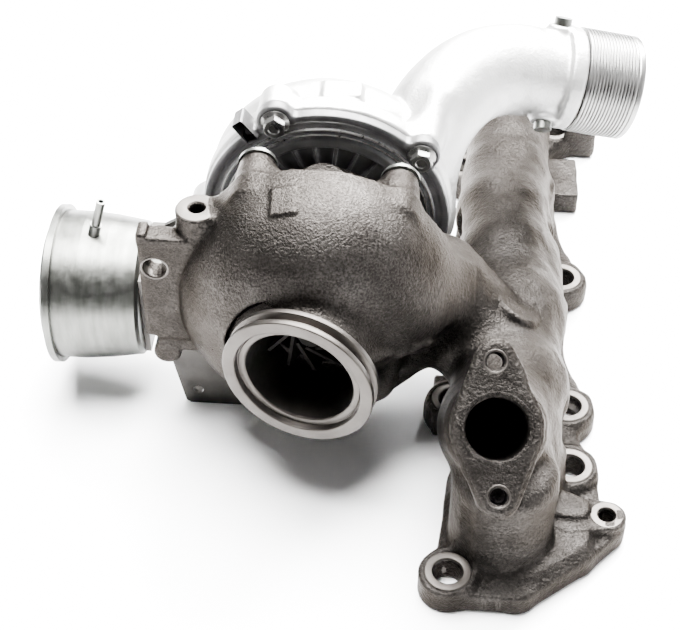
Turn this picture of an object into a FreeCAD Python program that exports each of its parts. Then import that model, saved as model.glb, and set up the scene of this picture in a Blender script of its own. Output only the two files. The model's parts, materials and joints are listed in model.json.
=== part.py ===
# Variable-nozzle turbocharger with the turbine housing cast in one with a four-cylinder exhaust manifold.
# Millimetres. Origin: manifold head face, midway between cylinders 2 and 3. X runs across the manifold,
# Y along it (and along the turbocharger shaft, turbine end at -Y), Z up from the head face.
import FreeCAD, Part, Sketcher
import math
import os
import re
from FreeCAD import Vector, Rotation, Placement

doc = FreeCAD.newDocument("turbocharger")

DIMS = {
    # manifold and head face
    "port_pitch": 90.0, "port_bore": 14.5, "runner_r": 22.0, "log_r": 23.0, "log_bore": 15.0,
    "log_z": 34.0, "log_half": 148.0, "flange_t": 13.0, "lug_r": 12.5, "stud_hole_r": 6.25,
    "stud_row_x": 26.8, "lug_far_y": 127.2, "lug_end_y": 190.0, "m8_tap_r": 3.4,
    # exhaust gas recirculation flange
    "egr_bore": 12.5, "egr_r": 19.0, "egr_ear_r": 10.0, "egr_hole_half": 26.6, "egr_t": 12.0,
    "egr_tilt": 46.5, "column_r": 22.5,
    # turbine housing
    "shaft_x": -90.0, "shaft_z": 80.0, "volute_ring_r": 40.0, "volute_bore": 16.5, "dome_r": 62.0,
    "dome_tube_r": 44.0, "dome_back_y": -85.0, "dome_relief_r": 35.5, "rear_flange_r": 53.0, "rear_boss_r": 7.5, "rear_bolt_circle": 55.5,
    "pilot_r": 46.0, "nozzle_space_r": 44.0, "shroud_r": 21.9, "outlet_bore": 24.0, "outlet_neck_r": 28.0,
    "vband_r": 33.5, "vband_t": 3.2, "vband_gap": 3.0, "vband_root_r": 30.2,
    "top_boss_r": 9.25, "top_boss_z": 125.0, "ear_hole_r": 5.0, "ear_t": 10.0,
    # centre housing
    "centre_flange_r": 47.9, "centre_neck_r": 19.0, "bearing_bore": 7.0,
    "bearing_inner_r": 4.03, "bearing_outer_r": 6.96,
    # rotor
    "shaft_r": 4.0, "stub_r": 2.6, "turbine_tip_r": 21.5, "exducer_r": 20.8, "blade_t": 1.3,
    "impeller_tip_r": 24.5, "inducer_r": 18.0, "impeller_blade_t": 0.9,
    # nozzle
    "vane_pivot_r": 27.0, "vane_stem_r": 1.8, "vane_height": 8.0, "vane_chord": 15.0, "vane_t": 2.4,
    "arm_length": 9.0, "arm_r": 2.4, "unison_outer_r": 42.0, "unison_inner_r": 33.5, "unison_t": 2.4,
    "roller_r": 2.5, "crank_angle": 198.0, "crank_stem_r": 3.0, "lever_length": 23.16, "lever_t": 3.5,
    # compressor
    "plate_r": 57.0, "plate_bolt_circle": 57.0, "plate_ear_r": 7.5, "scroll_ring_r": 38.0,
    "scroll_r": 18.5, "scroll_bore": 14.0, "scroll_y": -17.0, "inlet_r": 26.0, "inlet_bore": 21.0,
    "elbow_r": 21.0, "elbow_bore": 17.5, "sleeve_r": 25.0, "sleeve_bore": 20.0, "sleeve_len": 27.5,
    "groove_pitch": 1.6, "groove_depth": 0.7,
    # vacuum actuator
    "can_x": -213.9, "can_y": -62.0, "can_z": 48.5, "can_r": 34.8, "crimp_r": 37.4, "can_len": 42.0,
    "sheet_t": 1.2, "rod_r": 3.0, "nipple_r": 2.1, "bracket_t": 2.5,
}

sheet = doc.addObject("Spreadsheet::Sheet", "Dims")
for row, (alias, value) in enumerate(DIMS.items(), 1):
    sheet.set("A%d" % row, alias)
    sheet.set("B%d" % row, str(value))
    sheet.setAlias("B%d" % row, alias)
doc.recompute()

X = Vector(1, 0, 0)
Y = Vector(0, 1, 0)
Z = Vector(0, 0, 1)


def dim(alias):
    """Value of one sheet cell."""
    return float(sheet.get(alias))


def bind(obj, **sizes):
    """Bind properties to expressions of sheet aliases; bare numbers pass through."""
    for prop, text in sizes.items():
        obj.setExpression(prop, re.sub(r"[a-z]\w*", r"Dims.\g<0>", str(text)))
    return obj


def aim(obj, base, axis):
    obj.Placement = Placement(Vector(*base), Rotation(Z, Vector(*axis)))
    return obj


def cyl(name, radius, length, base, axis=Z):
    obj = doc.addObject("Part::Cylinder", name)
    bind(obj, Radius=radius, Height=length)
    return aim(obj, base, axis)


def cone(name, r1, r2, length, base, axis=Z):
    obj = doc.addObject("Part::Cone", name)
    bind(obj, Radius1=r1, Radius2=r2, Height=length)
    return aim(obj, base, axis)


def torus(name, ring, tube, base, axis=Z):
    obj = doc.addObject("Part::Torus", name)
    bind(obj, Radius1=ring, Radius2=tube)
    return aim(obj, base, axis)


def ball(name, radius, base):
    obj = doc.addObject("Part::Sphere", name)
    bind(obj, Radius=radius)
    obj.Placement.Base = Vector(*base)
    return obj


def box(name, size, centre, rotation=None):
    """Box centred on a point."""
    obj = doc.addObject("Part::Box", name)
    bind(obj, Length=size[0], Width=size[1], Height=size[2])
    doc.recompute([obj])
    turn = rotation or Rotation()
    half = Vector(obj.Length.Value / 2, obj.Width.Value / 2, obj.Height.Value / 2)
    obj.Placement = Placement(Vector(*centre) - turn.multVec(half), turn)
    return obj


def fuse(name, parts):
    if len(parts) == 1:
        return parts[0]
    obj = doc.addObject("Part::MultiFuse", name)
    obj.Shapes = parts
    return obj


def cut(name, base, tools):
    obj = doc.addObject("Part::Cut", name)
    obj.Base = base
    obj.Tool = fuse(name + "_tools", tools)
    return obj


def common(name, parts):
    obj = doc.addObject("Part::MultiCommon", name)
    obj.Shapes = parts
    return obj


def shape(name, solid, place=None):
    """A feature whose outline is built in code from sheet values."""
    obj = doc.addObject("Part::Feature", name)
    obj.Shape = solid
    if place:
        obj.Placement = place
    return obj


def origin_plane(body, role):
    return next(f for f in body.Origin.OriginFeatures if f.Role == role)


def lathe(name, profile, place):
    """PartDesign body turned about its local Y.

    Profile corners are (radius, station); a sheet alias may stand for the radius. A third item gives
    the middle point of an arc that runs on to the next corner.
    """
    body = doc.addObject("PartDesign::Body", name)
    sketch = body.newObject("Sketcher::SketchObject", name + "_profile")
    sketch.AttachmentSupport = (origin_plane(body, "XY_Plane"), "")
    sketch.MapMode = "FlatFace"

    def size(item):
        return dim(item) if isinstance(item, str) else float(item)

    corners = [Vector(size(item[0]), size(item[1]), 0) for item in profile]
    count = len(corners)
    ends = []
    for i, item in enumerate(profile):
        here, after = corners[i], corners[(i + 1) % count]
        if len(item) == 3:
            middle = Vector(item[2][0], item[2][1], 0)
            clockwise = (middle - here).cross(after - middle).z < 0
            first, last = (after, here) if clockwise else (here, after)
            bend = Part.Arc(here, middle, after).toShape().Curve
            start, stop = [math.atan2(p.y - bend.Center.y, p.x - bend.Center.x) for p in (first, last)]
            piece = Part.ArcOfCircle(Part.Circle(bend.Center, Z, bend.Radius), start, stop)
            ends.append((2, 1) if clockwise else (1, 2))
        else:
            piece = Part.LineSegment(here, after)
            ends.append((1, 2))
        sketch.addGeometry(piece, False)
    for i in range(count):
        after = (i + 1) % count
        sketch.addConstraint(Sketcher.Constraint("Coincident", i, ends[i][1], after, ends[after][0]))
    for i, item in enumerate(profile):
        radius = item[0]
        if isinstance(radius, str):
            index = sketch.addConstraint(Sketcher.Constraint("DistanceX", i, ends[i][0], size(radius)))
            sketch.setExpression("Constraints[%d]" % index, "Dims." + radius)
    turned = body.newObject("PartDesign::Revolution", name + "_turned")
    turned.Profile = sketch
    turned.ReferenceAxis = (sketch, ["V_Axis"])
    turned.Angle = 360.0
    body.Placement = place
    return body


def tangent_plate(circles, thickness):
    """Flat plate on XY whose outline wraps circles [(x, y, r), ...] given in counter-clockwise order."""
    edges = []
    pairs = []
    count = len(circles)
    for i in range(count):
        xa, ya, ra = circles[i]
        xb, yb, rb = circles[(i + 1) % count]
        gap = math.hypot(xb - xa, yb - ya)
        turn = math.atan2(yb - ya, xb - xa) - math.acos((ra - rb) / gap)
        normal = Vector(math.cos(turn), math.sin(turn), 0)
        pairs.append((Vector(xa, ya, 0) + normal * ra, Vector(xb, yb, 0) + normal * rb, turn))
    for i in range(count):
        start = pairs[i - 1]
        here = pairs[i]
        xa, ya, ra = circles[i]
        sweep = (here[2] - start[2]) % (2 * math.pi)
        middle = start[2] + sweep / 2
        if sweep > 1e-4:
            via = Vector(xa + ra * math.cos(middle), ya + ra * math.sin(middle), 0)
            edges.append(Part.Arc(start[1], via, here[0]).toShape())
        edges.append(Part.LineSegment(here[0], here[1]).toShape())
    return Part.Face(Part.Wire(edges)).extrude(Vector(0, 0, thickness))


def around(radius, degrees, y=0.0):
    """Point on a circle about the shaft, seen from the compressor-side normal; angle from +X towards +Z."""
    turn = math.radians(degrees)
    return (dim("shaft_x") + radius * math.cos(turn), y, dim("shaft_z") + radius * math.sin(turn))


parts = []


def keep(obj, node):
    """Finish a sub-part: its Label is the node's name."""
    obj.Label = node
    parts.append(obj)
    return obj


SHAFT = Placement(Vector(dim("shaft_x"), 0, dim("shaft_z")), Rotation())
# Local Y of the actuator pieces points along +X of the part.
CAN = Placement(Vector(dim("can_x"), dim("can_y"), dim("can_z")), Rotation(Z, -90))
YDIR = (0, 1, 0)

# --------------------------------------------------------------------------- turbine housing and manifold
row_x = dim("stud_row_x")
pitch = dim("port_pitch")
ports = [-1.5 * pitch, -0.5 * pitch, 0.5 * pitch, 1.5 * pitch]
studs = [(row_x, -dim("lug_far_y")), (row_x, -pitch), (row_x, 0.0), (row_x, dim("lug_far_y")),
         (-row_x, -dim("lug_end_y")), (-row_x, -pitch), (-row_x, 0.0), (-row_x, pitch)]
log_z = dim("log_z")
solids = [cyl("log", "log_r", "2*log_half", (0, -dim("log_half"), log_z), YDIR)]
for end, y in (("near", -dim("log_half")), ("far", dim("log_half"))):
    solids.append(ball("log_end_" + end, "log_r", (0, y, log_z)))
for i, y in enumerate(ports):
    solids.append(cyl("runner_%d" % i, "runner_r", "log_z", (0, y, 0)))
    solids.append(ball("lobe_%d" % i, "log_r + 2", (0, y, log_z)))
solids.append(box("base_plate", (44, "2*log_half", 10), (0, 0, 5)))
for i, (x, y) in enumerate(studs):
    solids.append(cyl("lug_%d" % i, "lug_r", "flange_t", (x, y, 0)))
    if abs(y) < dim("lug_end_y"):
        solids.append(box("lug_web_%d" % i, (abs(x), 21, 11), (x / 2, y, 5.5)))
# near end: plate out to the end lug, the block with the threaded ear, and the foot of the column
near_plate = tangent_plate([(-row_x, -dim("lug_end_y"), 12.5), (0, -193, 10), (26, -172, 8), (41.3, -157, 8),
                            (36, -140, 6), (-18, -140, 6)], 12)
solids.append(shape("near_plate", near_plate))
solids.append(box("ear_block", (26, 18, 15), (35.5, -155, 7.5)))
solids.append(box("far_block", (24, 21, 22), (38, 126, 11)))
solids.append(box("far_web", (38, 34, 12), (19.5, 84, 6)))

# gas recirculation column and its inclined diamond flange
tilt = math.radians(dim("egr_tilt"))
egr_normal = Vector(0, -math.cos(tilt), math.sin(tilt))
egr_centre = Vector(-11.4, -175.6, 87.2)
egr_place = Placement(egr_centre - egr_normal * dim("egr_t"), Rotation(X, 90 - dim("egr_tilt")))
half = dim("egr_hole_half")
egr_ears = [(-1.9, half), (1.9, -half)]
for i, (dx, dv) in enumerate(egr_ears):
    wing = tangent_plate([(0, 0, dim("egr_r")), (dx, dv, dim("egr_ear_r"))], dim("egr_t"))
    solids.append(shape("egr_wing_%d" % i, wing, egr_place))
neck_foot = egr_centre - egr_normal * 60
solids.append(cyl("column", "column_r", 57, (-5, -167, 0)))
solids.append(cyl("column_neck", "column_r - 1.5", 50, tuple(neck_foot), tuple(egr_normal)))
solids.append(cyl("column_back", "column_r", 50, (-5, -146, 0)))

manifold = fuse("manifold_mass", solids)
manifold.Refine = False
solids = []

# domed volute around the wheel, relieved behind the outlet flange, then its rear flange
centre = (dim("shaft_x"), dim("dome_back_y"), dim("shaft_z"))
dome_r = dim("dome_r")
tube = dim("dome_tube_r")
nose_y = dim("dome_back_y") - 4 - tube
diagonal = tube * math.sqrt(0.5)
outlet_dir = Vector(-0.253, -0.967, -0.017).normalize()
outlet_face = Vector(-94, -146, 76)
dome = lathe("volute_dome", [
    (0, centre[1]), ("dome_r", centre[1]),
    (dome_r, centre[1] - 4, (dome_r - tube + diagonal, centre[1] - 4 - diagonal)),
    (dome_r - tube, nose_y), (0, nose_y)], SHAFT)
relief = cyl("dome_relief", "dome_relief_r", 30, tuple(outlet_face - outlet_dir * 12.5), tuple(outlet_dir))
solids.append(cut("volute", dome, [relief]))
solids.append(cyl("rear_flange", "rear_flange_r", 14, (centre[0], -89, centre[2]), YDIR))


def duct(name, start, end, radius):
    path = Vector(*end) - Vector(*start)
    return cyl(name, radius, path.Length, start, tuple(path))


DUCTS = [((-6, -90, 42), (-41, -73, 61), 22.0, 15.0), ((-41, -73, 61), (-60, -92, 80), 24.0, 16.0)]
for i, (start, end, radius, _) in enumerate(DUCTS):
    solids.append(duct("duct_%d" % i, start, end, radius))
knee = (-41, -73, 61)
solids.append(ball("duct_knee", 24.2, knee))
neck_root = outlet_face - outlet_dir * 36
solids.append(cyl("outlet_neck", "outlet_neck_r", 33, tuple(neck_root), tuple(outlet_dir)))
solids.append(cone("outlet_flare", 38, "outlet_neck_r", 17, tuple(neck_root), tuple(outlet_dir)))
rims = [0.0, dim("vband_t") + dim("vband_gap")]
for i, back in enumerate(rims):
    start = outlet_face - outlet_dir * (back + dim("vband_t"))
    solids.append(cyl("vband_rim_%d" % i, "vband_r", "vband_t", tuple(start), tuple(outlet_dir)))
start = outlet_face - outlet_dir * (rims[1] + dim("vband_t"))
solids.append(cyl("vband_root", "vband_root_r", rims[1] + dim("vband_t"), tuple(start), tuple(outlet_dir)))

REAR_BOLTS = [51.5, 119.0, 191.0, 263.0, 335.0]
for i, angle in enumerate(REAR_BOLTS):
    base = around(dim("rear_bolt_circle"), angle, -92)
    solids.append(cyl("rear_boss_%d" % i, "rear_boss_r", 24, base, YDIR))
top_boss = (-140.0, -94.0)
solids.append(cyl("top_boss", "top_boss_r", "top_boss_z - 78", (top_boss[0], top_boss[1], 78)))
solids.append(box("ear_plate", (26, "ear_t", 58), (-153.5, -99, 85)))
solids.append(box("ear_lip", (4, "ear_t", 4), (-164.4, -99, 115)))
solids.append(box("ear_lower", (20, 13, 26), (-150, -97, 61)))
solids.append(cyl("ear_knob", 5.5, 14, (-157, -103.2, 47), YDIR))
solids.append(box("knob_web", (14, 12, 18), (-151, -97, 54)))
for name, radius, face, lean in (("side_pad", 10, (-25, -62, 76), (0.66, 0.21, 0.71)),
                                 ("log_pad", 11, (-1, -83, 65.5), (0.53, 0.21, 0.82))):
    lean = Vector(*lean).normalize()
    solids.append(cyl(name, radius, 24, tuple(Vector(*face) - lean * 24), tuple(lean)))

holes = []
for i, (x, y) in enumerate(studs):
    holes.append(cyl("stud_hole_%d" % i, "stud_hole_r", 60, (x, y, -2)))
    holes.append(cyl("stud_seat_%d" % i, 10.2, 45, (x, y, dim("flange_t"))))
for i, y in enumerate(ports):
    holes.append(cyl("port_%d" % i, "port_bore", "log_z + 1", (0, y, -1)))
holes.append(cyl("log_channel", "log_bore", "2*log_half - 8", (0, 4 - dim("log_half"), log_z), YDIR))
holes.append(cyl("ear_thread", "m8_tap_r", 30, (41.3, -156.3, -2)))
egr_start = egr_centre + egr_normal * 1
holes.append(cyl("egr_channel", "egr_bore", 62, tuple(egr_start), tuple(egr_normal * -1)))
along = Vector(0, math.sin(tilt), math.cos(tilt))
for i, (dx, dv) in enumerate(egr_ears):
    seat = egr_centre + along * dv + X * dx + egr_normal
    holes.append(cyl("egr_thread_%d" % i, "m8_tap_r", 16, tuple(seat), tuple(egr_normal * -1)))
holes.append(torus("gas_channel", "volute_ring_r", "volute_bore", (centre[0], -98.5, centre[2]), YDIR))
for i, (start, end, _, bore) in enumerate(DUCTS):
    holes.append(duct("duct_bore_%d" % i, start, end, bore))
holes.append(ball("knee_bore", 16.3, knee))
holes.append(cyl("nozzle_space", "nozzle_space_r", 12, (centre[0], -99.5, centre[2]), YDIR))
holes.append(cyl("pilot_bore", "pilot_r", 20, (centre[0], -88, centre[2]), YDIR))
holes.append(cyl("wheel_bore", "shroud_r", 30, (centre[0], -122, centre[2]), YDIR))
holes.append(cyl("outlet_bore", "outlet_bore", 12, tuple(outlet_face + outlet_dir * 1), tuple(outlet_dir * -1)))
holes.append(cyl("outlet_throat", "outlet_bore - 0.8", 31, tuple(outlet_face), tuple(outlet_dir * -1)))
holes.append(cyl("outlet_recess", 26.2, 3, tuple(outlet_face + outlet_dir * 1), tuple(outlet_dir * -1)))
for i, angle in enumerate(REAR_BOLTS):
    base = around(dim("rear_bolt_circle"), angle, -88)
    holes.append(cyl("rear_thread_%d" % i, "m8_tap_r", 22, base, YDIR))
holes.append(cyl("top_thread", 3.2, 22, (top_boss[0], top_boss[1], dim("top_boss_z") - 21)))
holes.append(cyl("knob_thread", 2.6, 10, (-157, -98, 47), YDIR))
holes.append(cyl("ear_hole", "ear_hole_r", 30, (-158.5, -112, 98.3), YDIR))
casting_mass = doc.addObject("Part::Fuse", "casting_mass")
casting_mass.Base = manifold
casting_mass.Tool = fuse("turbine_mass", solids)
casting_mass.Tool.Refine = casting_mass.Refine = False


# --------------------------------------------------------------------------- centre (bearing) housing
sx = dim("shaft_x")
sz = dim("shaft_z")
centre_mass = lathe("centre_lathe", [
    (14, -83.8), (14, -79.2), (45.8, -79.2), (45.8, -75), ("centre_flange_r", -75), ("centre_flange_r", -68.1),
    (30, -68.1), ("centre_neck_r", -64), ("centre_neck_r", -52), (30, -48), (30, -42.1), (16.5, -42.1),
    (16.5, -49), ("bearing_bore", -49), ("bearing_bore", -77), (8.9, -77), (8.9, -83.8)], SHAFT)
crank_at = around(dim("vane_pivot_r"), dim("crank_angle"))
centre_extra = [cyl("oil_inlet_boss", 9, 22, (sx, -57, sz + 14)),
                box("oil_drain_neck", (20, 15, 24), (sx, -55.5, sz - 27)),
                box("oil_drain_flange", (30, 15, 6), (sx, -55.5, sz - 40)),
                cyl("crank_boss", 7, 7, (crank_at[0], -69, crank_at[2]), YDIR)]
centre_cuts = [cyl("oil_inlet", 3, 26, (sx, -57, sz + 12)),
               cyl("oil_drain", 5.5, 36, (sx, -55.5, sz - 44)),
               cyl("crank_bore", 4.5, 30, (crank_at[0], -88, crank_at[2]), YDIR)]
for i, side in enumerate((-1, 1)):
    centre_cuts.append(cyl("drain_bolt_%d" % i, 2.5, 8, (sx + side * 11.5, -55.5, sz - 44)))
keep(cut("centre_cut", fuse("centre_solid", [centre_mass] + centre_extra), centre_cuts), "centre_housing")

keep(cut("bush_cut", cyl("bush_mass", 4.5, 18, (crank_at[0], -79.2, crank_at[2]), YDIR),
         [cyl("bush_bore", "crank_stem_r + 0.03", 20, (crank_at[0], -80, crank_at[2]), YDIR)]), "crank_bush")


def ring(node, inner, outer, start, end):
    """Plain ring about the shaft."""
    return keep(lathe(node + "_ring", [(inner, start), (outer, start), (outer, end), (inner, end)], SHAFT), node)


# floating bearings, spacer, thrust pieces and seals
ring("journal_bearing_turbine", "bearing_inner_r", "bearing_outer_r", -76.5, -69.5)
ring("journal_bearing_compressor", "bearing_inner_r", "bearing_outer_r", -56.5, -49.5)
ring("bearing_spacer", 4.6, 6.5, -69.3, -56.7)
ring("thrust_bearing", 6.7, 16.3, -47.6, -44.4)
ring("piston_ring_turbine", 7.7, 8.87, -80.9, -79.5)
ring("piston_ring_compressor", 6.7, 7.88, -38.4, -37.2)
keep(lathe("collar_lathe", [(4.02, -48.9), (10, -48.9), (10, -47.8), (6.4, -47.8), (6.4, -44.2), (10, -44.2),
                            (10, -43.2), (4.02, -43.2)], SHAFT), "thrust_collar")
keep(lathe("slinger_lathe", [(4.02, -43.1), (7.4, -43.1), (7.4, -38.6), (6.5, -38.6), (6.5, -37), (7.4, -37),
                             (7.4, -34.1), (4.02, -34.1)], SHAFT), "oil_slinger")
ring("heat_shield", 9.6, 22.2, -85.9, -84.7)


# --------------------------------------------------------------------------- rotor
def blades(name, count, thickness, axial, radial, middle, lean):
    """Flat radial blades, each leaned about its own radius."""
    made = []
    for i in range(count):
        angle = 360.0 / count * i
        turn = Rotation(Y, 90 - angle).multiply(Rotation(Z, lean))
        made.append(box("%s_%d" % (name, i), (thickness, axial, radial), around(2 + radial / 2, angle, middle), turn))
    return fuse(name, made)


turbine_hub = lathe("turbine_hub", [
    (0, -123), (5, -123), (6.5, -120), (7.5, -110), (11, -98), (20.5, -89.5), (20.5, -88), (8.6, -87.6),
    (8.6, -81), (7.4, -81), (7.4, -79.4), (8.6, -79.4), (8.6, -78.5), ("shaft_r", -77.6), ("shaft_r", -34),
    ("stub_r", -34), ("stub_r", -0.5), (0, -0.5)], SHAFT)
turbine_space = lathe("turbine_space", [(0, -121.5), ("exducer_r", -121.5), ("exducer_r", -99),
                                        ("turbine_tip_r", -96.2), ("turbine_tip_r", -88.4), (0, -88.4)], SHAFT)
turbine_blades = blades("turbine_blade", 11, "blade_t", 46, 24, -105, 24)
keep(fuse("turbine_wheel", [turbine_hub, common("turbine_vanes", [turbine_blades, turbine_space])]),
     "turbine_wheel_and_shaft")

impeller_hub = lathe("impeller_hub", [
    (2.62, -33.9), (7, -33.9), (7, -31.9), ("impeller_tip_r", -31.9), ("impeller_tip_r", -30.6), (10, -24),
    (6, -14), (5, -9), (2.62, -9)], SHAFT)
impeller_space = lathe("impeller_space", [(3, -10.5), ("inducer_r", -10.5), ("inducer_r", -16), (20, -23),
                                          ("impeller_tip_r", -28), ("impeller_tip_r", -31), (3, -31)], SHAFT)
impeller_blades = blades("impeller_blade", 12, "impeller_blade_t", 40, 28, -20, -30)
keep(fuse("impeller", [impeller_hub, common("impeller_vanes", [impeller_blades, impeller_space])]),
     "compressor_wheel")


def hexagon(name, across, height, base, axis):
    obj = doc.addObject("Part::Prism", name)
    obj.Polygon = 6
    bind(obj, Circumradius=across / math.sqrt(3), Height=height)
    return aim(obj, base, axis)


keep(cut("nut_cut", hexagon("nut_hex", 8, 5, (sx, -8.9, sz), YDIR),
         [cyl("nut_bore", "stub_r + 0.02", 7, (sx, -10, sz), YDIR)]), "shaft_nut")

# --------------------------------------------------------------------------- variable nozzle
vane_angles = [36.0 * i for i in range(10)]
roller_angles = [18.0, 126.0, 270.0]
spacer_angles = [54.0, 162.0, 306.0]
pivot_r = dim("vane_pivot_r")
ring_mass = lathe("nozzle_lathe", [(22.5, -88), (45.7, -88), (45.7, -84), (22.5, -84)], SHAFT)
ring_holes = [cyl("vane_hole_%d" % i, "vane_stem_r + 0.03", 6, around(pivot_r, a, -89), YDIR)
              for i, a in enumerate(vane_angles)]
keep(cut("nozzle_cut", ring_mass, ring_holes), "nozzle_ring")
ring("nozzle_cover_plate", 22.4, 41, -99, -96.4)


def compound(node, members):
    obj = doc.addObject("Part::Compound", node + "_set")
    obj.Links = members
    return keep(obj, node)


compound("nozzle_spacers", [cyl("spacer_%d" % i, 2.5, 8.3, around(38, a, -96.35), YDIR)
                            for i, a in enumerate(spacer_angles)])
compound("unison_guide_pins", [cyl("roller_%d" % i, "roller_r", 3.4, around(30.9, a, -83.95), YDIR)
                                 for i, a in enumerate(roller_angles)])

unison_y = -83.5
unison_mass = cyl("unison_disc", "unison_outer_r", "unison_t", (sx, unison_y, sz), YDIR)
unison_cuts = [cyl("unison_hole", "unison_inner_r", 6, (sx, unison_y - 2, sz), YDIR)]
slot_r = pivot_r + dim("arm_length")
for i, angle in enumerate(vane_angles + [dim("crank_angle")]):
    unison_cuts.append(cyl("slot_end_%d" % i, "arm_r + 0.1", 6, around(slot_r, angle, unison_y - 2), YDIR))
    unison_cuts.append(box("slot_%d" % i, (5, 6, "2*arm_r + 0.2"), around(slot_r - 2.5, angle, unison_y + 1),
                           Rotation(Y, -angle)))
keep(cut("unison_cut", unison_mass, unison_cuts), "unison_ring")


def arm(name, angle, hub):
    """Arm from a pivot on the vane circle out to its slot in the unison ring."""
    mid = around(pivot_r + dim("arm_length") / 2, angle, unison_y + dim("unison_t") / 2)
    return [cyl(name + "_hub", hub, "unison_t", around(pivot_r, angle, unison_y), YDIR),
            cyl(name + "_tip", "arm_r", "unison_t", around(slot_r, angle, unison_y), YDIR),
            box(name + "_web", ("arm_length", "unison_t", 3), mid, Rotation(Y, -angle))]


chord = dim("vane_chord")
vane_outline = [(-chord / 2 + 1.2, 0, 1.2), (0, -0.2, dim("vane_t") / 2), (chord / 2 - 0.5, 0.4, 0.5)]
vane_solid = tangent_plate([vane_outline[0], vane_outline[2]], dim("vane_height"))
for i, angle in enumerate(vane_angles):
    # outline plane XY is turned so that the blade's height runs along the shaft
    turn = Rotation(Y, -angle - 60).multiply(Rotation(X, 90))
    place = Placement(Vector(*around(pivot_r, angle, -88.2)), turn)
    blade = shape("vane_blade_%d" % i, vane_solid, place)
    stem = cyl("vane_stem_%d" % i, "vane_stem_r", 7.2, around(pivot_r, angle, -88.3), YDIR)
    keep(fuse("vane_fuse_%d" % i, [blade, stem] + arm("vane_arm_%d" % i, angle, 3.4)), "vane_%02d" % (i + 1))

lever_end = (crank_at[0], crank_at[2] - dim("lever_length"))
lever = tangent_plate([(0, 0, 5.5), (0, -dim("lever_length"), 4.5)], dim("lever_t"))
lever_place = Placement(Vector(crank_at[0], -57.5 + dim("lever_t"), crank_at[2]), Rotation(X, 90))
keep(fuse("crank", arm("crank_arm", dim("crank_angle"), 4) + [
    cyl("crank_stem", "crank_stem_r", 29.4, (crank_at[0], -83.5, crank_at[2]), YDIR),
    shape("lever_plate", lever, lever_place),
    cyl("lever_pin", 2.5, 9, (lever_end[0], -66, lever_end[1]), YDIR)]), "drive_crank")

# --------------------------------------------------------------------------- compressor end
PLATE_BOLTS = [41.0, 113.0, 185.0, 257.0, 329.0]
plate_mass = lathe("plate_lathe", [
    (7.9, -42), (31, -42), (31, -37.5), (47, -37.5), (47, -40.3), (51.5, -40.3), (51.5, -41.8), ("plate_r", -41.8),
    ("plate_r", -36), (52.6, -36), (52.6, -35.5), (50.5, -35.5), (50.5, -33.7), (52.6, -33.7), (52.6, -33),
    (7.9, -33)], SHAFT)
plate_extra = []
plate_cuts = []
for i in range(12):
    angle = 30.0 * i + 8
    plate_extra.append(box("plate_rib_%d" % i, (19, 4, 3), around(39, angle, -39.4), Rotation(Y, -angle)))
for i, angle in enumerate(PLATE_BOLTS):
    spot = around(dim("plate_bolt_circle"), angle, -41.8)
    plate_extra.append(cyl("plate_ear_%d" % i, "plate_ear_r", 5.8, spot, YDIR))
    plate_cuts.append(cyl("plate_hole_%d" % i, 3.3, 12, (spot[0], -45, spot[2]), YDIR))
plate_extra.append(box("plate_lug", (13, 5.8, 12), around(60, 127, -38.9), Rotation(Y, -20)))
keep(cut("plate_cut", fuse("plate_solid", [plate_mass] + plate_extra), plate_cuts), "compressor_backplate")
keep(torus("plate_seal", 51.55, 0.88, (sx, -34.6, sz), YDIR), "backplate_o_ring")

scroll_y = dim("scroll_y")
sleeve_dir = Vector(0.967, 0.1187, -0.225).normalize()
elbow_end = Vector(22.9, 30.9, 112.9)
elbow_points = [Vector(-52, -14, 60), Vector(-49, -10, 112), elbow_end - sleeve_dir * 45, elbow_end]


def pipe(points, bends, radius):
    """Round bar along straight runs joined by tangent arcs."""
    edges = []
    last = points[0]
    for i in range(1, len(points) - 1):
        before = (points[i - 1] - points[i]).normalize()
        after = (points[i + 1] - points[i]).normalize()
        half_turn = (math.pi - before.getAngle(after)) / 2
        reach = bends[i - 1] * math.tan(half_turn)
        first = points[i] + before * reach
        second = points[i] + after * reach
        inward = (before + after).normalize()
        crown = points[i] + inward * (bends[i - 1] / math.cos(half_turn) - bends[i - 1])
        edges.append(Part.LineSegment(last, first).toShape())
        edges.append(Part.Arc(first, crown, second).toShape())
        last = second
    edges.append(Part.LineSegment(last, points[-1]).toShape())
    section = Part.Wire(Part.makeCircle(radius, points[0], points[1] - points[0]))
    return Part.Wire(edges).makePipeShell([section], True, False)


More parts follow.
